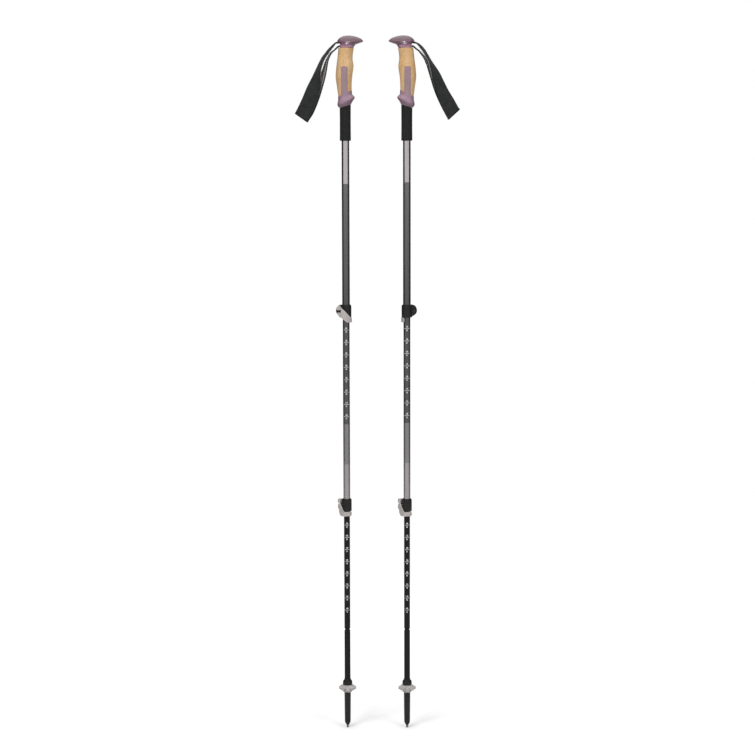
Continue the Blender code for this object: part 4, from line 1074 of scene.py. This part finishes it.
def linear(red, green, blue):
    """A colour as the shader takes it, from values of 0 to 255 as seen on a screen."""
    values = [channel / 255 for channel in (red, green, blue)]
    return tuple(v / 12.92 if v <= 0.04045 else ((v + 0.055) / 1.055) ** 2.4 for v in values)


class Nodes:
    """A tree of shader nodes being filled."""

    def __init__(self, tree):
        self.tree = tree

    def add(self, kind, **values):
        """A node with some of its inputs or settings given."""
        node = self.tree.nodes.new(kind)
        for key, value in values.items():
            if hasattr(node, key):
                setattr(node, key, value)
            else:
                node.inputs[key.replace("_", " ")].default_value = value
        return node

    def link(self, output, target):
        """Joins an output to an input."""
        self.tree.links.new(output, target)

    def maths(self, operation, first, second):
        """A sum on two values."""
        node = self.add("ShaderNodeMath", operation=operation)
        self.link(first, node.inputs[0])
        self.link(second, node.inputs[1])
        return node.outputs[0]

    def mapped(self, value, **limits):
        """A value moved from one range to another; an end that isn't given is 0 or 1."""
        node = self.add("ShaderNodeMapRange", **limits)
        self.link(value, node.inputs["Value"])
        return node.outputs["Result"]

    def seen(self):
        """1 for rays that show what they meet: those of the camera, reflected ones and those let through."""
        path = self.add("ShaderNodeLightPath").outputs
        shown = self.maths("MAXIMUM", path["Is Camera Ray"], path["Is Glossy Ray"])
        return self.maths("MAXIMUM", shown, path["Is Transmission Ray"])


class Look(Nodes):
    """A material being made: its shader, and nodes that vary its colour, roughness and surface."""

    def __init__(self, name, roughness, **sockets):
        self.material = bpy.data.materials.new(name)
        self.material.use_nodes = True
        super().__init__(self.material.node_tree)
        self.shader = self.tree.nodes["Principled BSDF"]
        self.shader.inputs["Roughness"].default_value = roughness
        for socket, value in sockets.items():
            self.shader.inputs[socket.replace("_", " ")].default_value = value
        self.place = self.add("ShaderNodeTexCoord").outputs["Object"]

    def pattern(self, kind, stretch=(1, 1, 1), **values):
        """The outputs of a pattern over the object, with its coordinates scaled along each axis."""
        mapping = self.add("ShaderNodeMapping", Scale=stretch)
        self.link(self.place, mapping.inputs["Vector"])
        node = self.add(kind, **values)
        self.link(mapping.outputs["Vector"], node.inputs["Vector"])
        return node.outputs

    def noise(self, scale, detail=4.0, stretch=(1, 1, 1)):
        """A noise's value over the object."""
        return self.pattern("ShaderNodeTexNoise", stretch, Scale=scale, Detail=detail)["Fac"]

    def cells(self, scale):
        """The distance from the middle of each cell of a pattern of cells."""
        return self.pattern("ShaderNodeTexVoronoi", Scale=scale)["Distance"]

    def rise(self, vector, low, high):
        """A value that grows from 0 to 1 as a vector's height goes from low to high."""
        parts = self.add("ShaderNodeSeparateXYZ")
        self.link(vector, parts.inputs[0])
        return self.mapped(parts.outputs["Z"], From_Min=low, From_Max=high)

    def ramp(self, value, *stops):
        """A colour for each value, from (position, colour) stops."""
        node = self.add("ShaderNodeValToRGB")
        elements = node.color_ramp.elements
        while len(elements) < len(stops):
            elements.new(0.5)
        for element, (position, colour) in zip(elements, stops):
            element.position = position
            element.color = (*colour, 1)
        self.link(value, node.inputs["Fac"])
        return node.outputs["Color"]

    def tones(self, value, *stops):
        """A ramp whose colours are given as seen on a screen."""
        return self.ramp(value, *((position, linear(*colour)) for position, colour in stops))

    def mixed(self, first, second, share=1.0, blend="MULTIPLY"):
        """Two colours mixed, by default by multiplying them."""
        node = self.add("ShaderNodeMix", data_type="RGBA", blend_type=blend)
        node.inputs[0].default_value = share
        self.link(first, node.inputs[6])
        self.link(second, node.inputs[7])
        return node.outputs[2]

    def colour(self, output):
        """Sets where the colour comes from."""
        self.link(output, self.shader.inputs["Base Color"])

    def rough(self, value, low, high):
        """Spreads the roughness between two levels."""
        self.link(self.mapped(value, To_Min=low, To_Max=high), self.shader.inputs["Roughness"])

    def bump(self, value, strength, depth):
        """Raises the surface by a value, over any bump that is there already."""
        node = self.add("ShaderNodeBump", Strength=strength, Distance=depth)
        self.link(value, node.inputs["Height"])
        normal = self.shader.inputs["Normal"]
        if normal.is_linked:
            self.link(normal.links[0].from_socket, node.inputs["Normal"])
        self.link(node.outputs["Normal"], normal)


def plain_look(name, dark, light, grain, roughness, stops=(0.3, 0.7), wear=None, pores=None, texture=None,
               **sockets):
    """A material in two tones that a noise mixes, from stops on its value.

    The grain is that noise's scale and detail. Wear is the scale of a noise, and the lowest and highest
    roughness that it gives. Pores are the scale of a pattern of cells, and the strength and depth of its
    bumps. Texture is a noise's scale and detail, and the strength and depth of its bumps.
    """
    look = Look(name, roughness, **sockets)
    look.colour(look.tones(look.noise(*grain), *zip(stops, (dark, light))))
    if wear:
        scale, low, high = wear
        look.rough(look.noise(scale), low, high)
    if pores:
        scale, strength, depth = pores
        look.bump(look.cells(scale), strength, depth)
    if texture:
        scale, detail, strength, depth = texture
        look.bump(look.noise(scale, detail), strength, depth)
    return look.material


def cork_look():
    """Ground cork: pale tan granules in short upright streaks, with darker ones and pores among them."""
    look = Look("cork", 0.75, Specular_IOR_Level=0.3)
    granules = look.noise(520, detail=6, stretch=(1, 1, 0.3))
    tone = look.tones(granules, (0.3, (198, 162, 119)), (0.5, (211, 177, 134)), (0.7, (221, 190, 149)))
    blotches = look.noise(70, detail=3, stretch=(1, 1, 0.4))
    patches = look.tones(blotches, (0.35, (243, 234, 222)), (0.65, (255, 254, 251)))
    pores = look.tones(look.cells(900), (0.08, (160, 118, 78)), (0.2, WHITE))
    look.colour(look.mixed(look.mixed(tone, patches), pores, share=0.3))
    look.rough(look.noise(300), low=0.66, high=0.86)
    look.bump(look.cells(900), strength=0.2, depth=0.0003)
    look.bump(look.noise(500, detail=6), strength=0.25, depth=0.0002)
    return look.material


def rubber_look(name, painted_shadow_band=None):
    """Satin purple rubber with a fine moulded grain, in tones for the ways that its surface faces, which
    paint shade and sheen into its colour.

    A painted shadow band is painted shade under a head's rim: a lower height, an upper height and the shade
    half way between them.
    """
    look = Look(name, 0.4, Specular_IOR_Level=0.3, Coat_Weight=0.5, Coat_Roughness=0.04)
    # Painted light and shade: the colour follows the way the surface faces
    normal = look.add("ShaderNodeNewGeometry").outputs["Normal"]
    tone = look.tones(look.rise(normal, -1, 1), *zip(RUBBER_PAINTED_SHADE_STOPS, RUBBER_PAINTED_SHADE_TONES[name]))
    mottle = look.tones(look.noise(60, detail=3), (0.3, (244, 242, 243)), (0.7, WHITE))
    tone = look.mixed(tone, mottle)
    # Painted shadow under the head's rim, darkest half way between the two heights
    if painted_shadow_band:
        low, high, shade = painted_shadow_band
        plain = linear(*WHITE)
        height = look.rise(look.place, low, high)
        tone = look.mixed(tone, look.ramp(height, (0.0, plain), (0.5, shade), (1.0, plain)))
    look.colour(tone)
    look.rough(look.noise(220), low=0.3, high=0.44)
    look.bump(look.noise(2600, detail=2), strength=0.1, depth=0.00006)
    return look.material


def woven_look(name, dark, light, ribs, picks):
    """Woven tape: ribs along it and picks across it, from the cloth's own length and breadth."""
    look = Look(name, 0.82, Sheen_Weight=0.04, Specular_IOR_Level=0.15)
    cloth = look.add("ShaderNodeUVMap", uv_map="cloth").outputs["UV"]
    waves = []
    for direction, scale in (("X", ribs), ("Y", picks)):
        wave = look.add(
            "ShaderNodeTexWave", wave_type="BANDS", bands_direction=direction, Scale=scale, Distortion=0.4
        )
        look.link(cloth, wave.inputs["Vector"])
        waves.append(wave.outputs["Fac"])
    weave = look.maths("MULTIPLY", *waves)
    threads = look.tones(weave, (0.0, dark), (1.0, light))
    patches = look.tones(look.noise(120, detail=3), (0.3, dark), (0.7, light))
    look.colour(look.mixed(threads, patches, share=0.5, blend="MIX"))
    look.bump(weave, strength=0.5, depth=0.0002)
    return look.material


def metal_look(name, dark, light, roughness, metallic, fade=None, specular=0.2):
    """Drawn tube: fine streaks along it, in its colour, its roughness and its surface.

    A fade is a lower height, an upper height and the shade at the lower one.
    """
    look = Look(name, roughness, Metallic=metallic, Specular_IOR_Level=specular)
    streaks = look.noise(700, stretch=(1, 1, 0.012))
    colour = look.tones(streaks, (0.3, dark), (0.7, light))
    if fade:
        low, high, shade = fade
        height = look.rise(look.place, low, high)
        colour = look.mixed(colour, look.tones(height, (0.0, shade), (1.0, WHITE)))
    look.colour(colour)
    rubbed = look.noise(300, detail=3, stretch=(1, 1, 0.05))
    look.rough(rubbed, low=roughness * 0.85, high=roughness * 1.2)
    look.bump(streaks, strength=0.05, depth=0.00005)
    return look.material


def make_looks():
    """Every material by its name."""
    return {
        "cork": cork_look(),
        "head_rubber": rubber_look("head_rubber", HEAD_RIM_PAINTED_SHADOW),
        "strip_rubber": rubber_look("strip_rubber"),
        "collar_rubber": rubber_look("collar_rubber"),
        "foam": plain_look(
            "black_foam", (34, 34, 34), (48, 48, 48), grain=(700, 5), roughness=0.85, stops=(0.35, 0.7),
            pores=(1800, 0.3, 0.0002), texture=(160, 3, 0.12, 0.0003), Specular_IOR_Level=0.05,
        ),
        "webbing": woven_look("black_webbing", (33, 34, 34), (52, 53, 53), ribs=1500, picks=1200),
        "lining": woven_look("pale_lining", (150, 146, 144), (206, 202, 199), ribs=1900, picks=1520),
        "thread": plain_look(
            "dark_thread", (38, 38, 38), (60, 60, 60), grain=(900, 4), roughness=0.6, Specular_IOR_Level=0.2
        ),
        "plastic": plain_look(
            "black_plastic", (26, 25, 25), (34, 33, 33), grain=(90, 3), roughness=0.45,
            wear=(500, 0.38, 0.54), texture=(3200, 2, 0.12, 0.00006), Specular_IOR_Level=0.2,
        ),
        "lever": plain_look(
            "satin_lever", (172, 166, 164), (185, 179, 177), grain=(140, 4), roughness=0.42,
            wear=(400, 0.36, 0.5), texture=(1800, 3, 0.1, 0.00008), Metallic=0.2,
        ),
        "bare": metal_look("bare_aluminium", (170, 164, 166), (192, 184, 187), 0.24, 1.0),
        "dark": metal_look("dark_aluminium", (102, 99, 101), (118, 115, 117), 0.34, 0.9, TUBE_FADE),
        "ink": metal_look("black_anodised", (79, 78, 79), (96, 95, 96), 0.36, 0.8),
        "grey": metal_look("grey_anodised", (122, 119, 120), (138, 135, 136), 0.32, 0.95),
        "silver": metal_look("silver_anodised", (146, 142, 143), (162, 158, 159), 0.28, 0.95),
        "black": metal_look("black_paint", (31, 31, 31), (40, 40, 40), 0.42, 0.0, specular=0.04),
        "steel": plain_look(
            "black_steel", (46, 46, 48), (62, 62, 64), grain=(600, 3), roughness=0.3,
            wear=(900, 0.22, 0.38), Metallic=0.9,
        ),
        "translucent": plain_look(
            "pale_plastic", (168, 164, 163), (184, 181, 180), grain=(80, 3), roughness=0.4,
            wear=(300, 0.34, 0.48), texture=(900, 2, 0.08, 0.0001), Specular_IOR_Level=0.35,
            Subsurface_Weight=0.3, Subsurface_Radius=(1, 1, 1), Subsurface_Scale=0.003,
        ),
        "carbide": plain_look(
            "carbide", (84, 84, 86), (126, 126, 128), grain=(1200, 4), roughness=0.4,
            texture=(2500, 3, 0.3, 0.0001), Metallic=0.9,
        ),
        "print": plain_look(
            "white_print", (196, 196, 196), (236, 236, 236), grain=(1500, 3), roughness=0.5, stops=(0.3, 0.6)
        ),
    }


# Putting pieces in place


def add_piece(name, mesh, looks, body, replaced=(), edge=0.0):
    """A piece made from a mesh in the frame's own coordinates, riding on a body if one is given."""
    mesh.name = name
    mesh.materials.clear()
    for look in looks:
        mesh.materials.append(look)
    mesh.shade_smooth()
    mesh.set_sharp_from_angle(angle=math.radians(SMOOTH_ANGLE))
    piece = add_object(name, mesh)
    if edge:
        soften(piece, edge)
    if body:
        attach(piece, body)
    if replaced:
        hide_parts(*replaced)
    return piece


def add_look(node, mesh, look, body, edge=0.0):
    """A fine piece that takes the place of one solid."""
    add_piece(node + "_look", mesh, [look], body, [node], edge)


def soften(piece, edge):
    """Rounds a piece's sharp edges."""
    bevel = piece.modifiers.new("edges", "BEVEL")
    bevel.width = edge
    bevel.segments = 3
    bevel.limit_method = "ANGLE"
    bevel.angle_limit = math.radians(SMOOTH_ANGLE)
    bevel.harden_normals = True


def placed(mesh, side, extra=None):
    """A copy of a mesh set down on one pole."""
    copy = mesh.copy()
    copy.transform(PLACES[side] @ extra if extra else PLACES[side])
    return copy


def add_grip(side, looks):
    """Head, cork, collar, strips and foam."""
    body = side + "_upper"
    for name, mesh, look, slot in (
        ("grip_head", head_mesh(), "head_rubber", "purple_rubber"),
        ("cork_grip", cork_mesh(), "cork", "cork"),
        ("grip_collar", collar_mesh(), "collar_rubber", "purple_rubber"),
        ("foam_sleeve", foam_mesh(), "foam", "black_foam"),
    ):
        add_look(f"{side}_{name}", placed(mesh, side), looks[look], body)
    for number, facing in ((1, -1), (2, 1)):
        mesh = placed(strip_mesh(facing), side)
        add_piece(f"{side}_grip_strip_{number}", mesh, [looks["strip_rubber"]], body)


def add_shafts(side, looks):
    """The three tubes, with a finish for each stretch, and the scales printed on two of them."""
    lip = CLAMP_LIP + FIT_GAP - CLAMP_HEIGHT
    bare, black, grey = (height + FINISH_SHIFT[side] for height in (BARE_END, BLACK_END, GREY_END))
    middle_top = UPPER_LOCK_TOP - CLAMP_HEIGHT + SECTION_OVERLAP
    lower_top = LOWER_LOCK_TOP - CLAMP_HEIGHT + SECTION_OVERLAP
    upper = tube_mesh(UPPER_RADIUS, (CORK_TOP - UPPER_SHAFT_INSET, bare, UPPER_LOCK_TOP + lip))
    middle = tube_mesh(MIDDLE_RADIUS, (middle_top, black, grey, LOWER_LOCK_TOP + lip))
    lower = lower_tube_mesh(lower_top, DOME_TOP - SOCKET_DEPTH + FIT_GAP)
    for name, mesh, names, changes in (
        ("upper", upper, ("bare", "dark"), (bare,)),
        ("middle", middle, ("ink", "grey", "silver"), (black, grey)),
        ("lower", lower, ("black",), ()),
    ):
        node = f"{side}_{name}_shaft"
        finishes = [looks[look] for look in names]
        piece = add_piece(
            node + "_look", placed(mesh, side), finishes, f"{side}_{name}", [node]
        )
        for face in piece.data.polygons:
            face.material_index = sum(face.center.z < height for height in changes)
    for name, radius, shift in (("middle", MIDDLE_RADIUS, FINISH_SHIFT[side]), ("lower", LOWER_RADIUS, 0)):
        mesh = placed(scale_mesh(radius, SCALE_LOWEST[name] + shift), side)
        add_piece(f"{side}_{name}_scale", mesh, [looks["print"]], f"{side}_{name}")


def add_locks(side, looks):
    """The clamps and levers of both locks."""
    for name, sizes, height, turn, body in (
        ("upper", (UPPER_RADIUS, MIDDLE_RADIUS), UPPER_LOCK_TOP, 0, side + "_upper"),
        ("lower", (MIDDLE_RADIUS, LOWER_RADIUS), LOWER_LOCK_TOP, LOWER_LOCK_TURN[side], side + "_middle"),
    ):
        lock = Lock(*sizes)
        at = Matrix.Translation((0, 0, height)) @ Matrix.Rotation(math.radians(turn), 4, "Z")
        start = f"{side}_{name}_"
        mesh = placed(lock.clamp(), side, at)
        add_look(start + "clamp", mesh, looks["plastic"], body, CLAMP_ROUNDING)
        mesh = placed(lock.lever(), side, at)
        add_look(start + "lever", mesh, looks["lever"], start + "lock_lever", LEVER_ROUNDING)


def add_tip(side, looks):
    """Tip holder and basket."""
    mesh = placed(tip_holder_mesh(), side)
    add_look(side + "_tip_holder", mesh, looks["plastic"], side + "_lower")
    mesh = placed(basket_mesh(), side)
    add_look(side + "_basket", mesh, looks["translucent"], side + "_basket_disc")


def add_strap(side, looks):
    """The webbing, its pale lining and the stitches along its edges."""
    stations = strap_stations(side)
    webbing, length = ribbon(stations)
    lining, _ = ribbon(stations, lining=True)
    stitches = stitch_mesh(stations)
    nodes = [side + "_wrist_strap", side + "_strap_anchor"]
    strap = add_piece(side + "_strap_webbing", placed(webbing, side), [looks["webbing"]], None, nodes)
    extras = [
        add_piece(side + "_strap_lining", placed(lining, side), [looks["lining"]], None),
        add_piece(side + "_strap_stitches", placed(stitches, side), [looks["thread"]], None),
    ]
    for piece in [strap] + extras:
        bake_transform(piece)


def dress_nodes(looks):
    """Materials for the solids that show as they are."""
    names = {
        "grip_core": "plastic",
        "strap_pin": "steel",
        "strap_wedge": "plastic",
        "middle_guide_bush": "plastic",
        "lower_guide_bush": "plastic",
        "carbide_tip": "carbide",
    }
    for lock in ("upper", "lower"):
        for name in ("bolt", "adjuster", "hinge_pin"):
            names[f"{lock}_{name}"] = "steel"
    for side in PLACES:
        for name, look in names.items():
            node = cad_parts[f"{side}_{name}"]
            node.data.materials.clear()
            node.data.materials.append(looks[look])
            soften(node, FASTENER_ROUNDING)


# Floor, light and camera


def add_floor():
    """A pale floor that shows white to the camera and keeps a soft shadow."""
    bm = bmesh.new()
    bmesh.ops.create_grid(bm, x_segments=1, y_segments=1, size=FLOOR_SIZE)
    floor = add_object("floor", mesh_from(bm, "floor"))
    floor.location = (POLE_SPACING / 2, 0, TIP_END - FIT_GAP)
    look = Look(
        "floor", 0.9, Base_Color=(*linear(*FLOOR_TONE), 1), Specular_IOR_Level=0.0,
        Emission_Color=(*linear(*WHITE), 1),
    )
    distance = look.add("ShaderNodeVectorMath", operation="LENGTH")
    look.link(look.place, distance.inputs[0])
    glow = look.mapped(
        distance.outputs["Value"], From_Min=FLOOR_GLOW_START, From_Max=FLOOR_GLOW_END, To_Min=FLOOR_GLOW,
        To_Max=FLOOR_FAR_GLOW,
    )
    look.link(look.maths("MULTIPLY", look.seen(), glow), look.shader.inputs["Emission Strength"])
    floor.data.materials.append(look.material)


def add_world():
    """A white surround for the eye and for reflections, with a gentler level of light from it."""
    world = bpy.data.worlds.new("surround")
    bpy.context.scene.world = world
    world.use_nodes = True
    nodes = Nodes(world.node_tree)
    background = nodes.tree.nodes["Background"]
    background.inputs["Color"].default_value = (*linear(*WHITE), 1)
    nodes.link(nodes.mapped(nodes.seen(), To_Min=SURROUND_LIGHT), background.inputs["Strength"])


def add_lamp(name, place, size, power, lit=None):
    """A soft box that looks at the middle of the poles, or a lamp that only makes glints on what is lit."""
    lamp = bpy.data.lights.new(name, "AREA")
    lamp.shape = "RECTANGLE"
    lamp.size, lamp.size_y = size
    lamp.energy = power
    item = add_object(name, lamp)
    item.location = place
    aim = CAMERA_TARGET - Vector(place)
    item.rotation_euler = aim.to_track_quat("-Z", "Y").to_euler()
    item.visible_glossy = bool(lit)
    item.visible_diffuse = not lit
    item.visible_camera = False
    if lit:
        receivers = bpy.data.collections.new(name)
        for piece in lit:
            receivers.objects.link(bpy.data.objects[piece])
        item.light_linking.receiver_collection = receivers


def add_flag(name, first, last):
    """A black card curved round one side that only reflections show, between two angles from the camera."""
    bm = bmesh.new()
    rows = []
    for i in range(FLAG_COLUMNS + 1):
        angle = math.radians(first + (last - first) * i / FLAG_COLUMNS)
        x = CAMERA_TARGET.x + FLAG_DISTANCE * math.sin(angle)
        y = -FLAG_DISTANCE * math.cos(angle)
        rows.append([bm.verts.new((x, y, height)) for height in (TIP_END + FLAG_HEIGHT, TIP_END)])
    skin(bm, rows)
    card = add_object(name, mesh_from(bm, name, closed=False))
    look = Look(name, 0.9, Base_Color=FLAG_TONE, Specular_IOR_Level=0.0)
    card.data.materials.append(look.material)
    for ray in ("camera", "diffuse", "shadow", "transmission"):
        setattr(card, "visible_" + ray, False)


def add_camera():
    """The camera at the photo's angle."""
    camera = bpy.data.cameras.new("camera")
    camera.sensor_width = SENSOR
    camera.lens = SENSOR * FOCAL_PIXELS / IMAGE_PIXELS
    item = add_object("camera", camera)
    pitch = math.radians(CAMERA_PITCH)
    away = Vector((0, -math.cos(pitch), math.sin(pitch)))
    turn = Matrix.Rotation(math.pi / 2 - pitch, 4, "X") @ Matrix.Rotation(math.radians(CAMERA_ROLL), 4, "Z")
    item.matrix_world = Matrix.Translation(CAMERA_TARGET + away * CAMERA_DISTANCE) @ turn
    bpy.context.scene.camera = item


def main():
    """Dresses both poles and sets the stage."""
    bpy.context.scene.view_settings.view_transform = "Standard"
    looks = make_looks()
    for side in PLACES:
        add_grip(side, looks)
        add_shafts(side, looks)
        add_locks(side, looks)
        add_tip(side, looks)
        add_strap(side, looks)
    dress_nodes(looks)
    add_floor()
    add_world()
    for name, box in SOFT_BOXES.items():
        add_lamp(name, *box)
    add_lamp("spark", *SPARK, lit=[side + "_grip_head_look" for side in PLACES])
    for name, angles in FLAGS.items():
        add_flag(name, *angles)
    add_camera()


main()
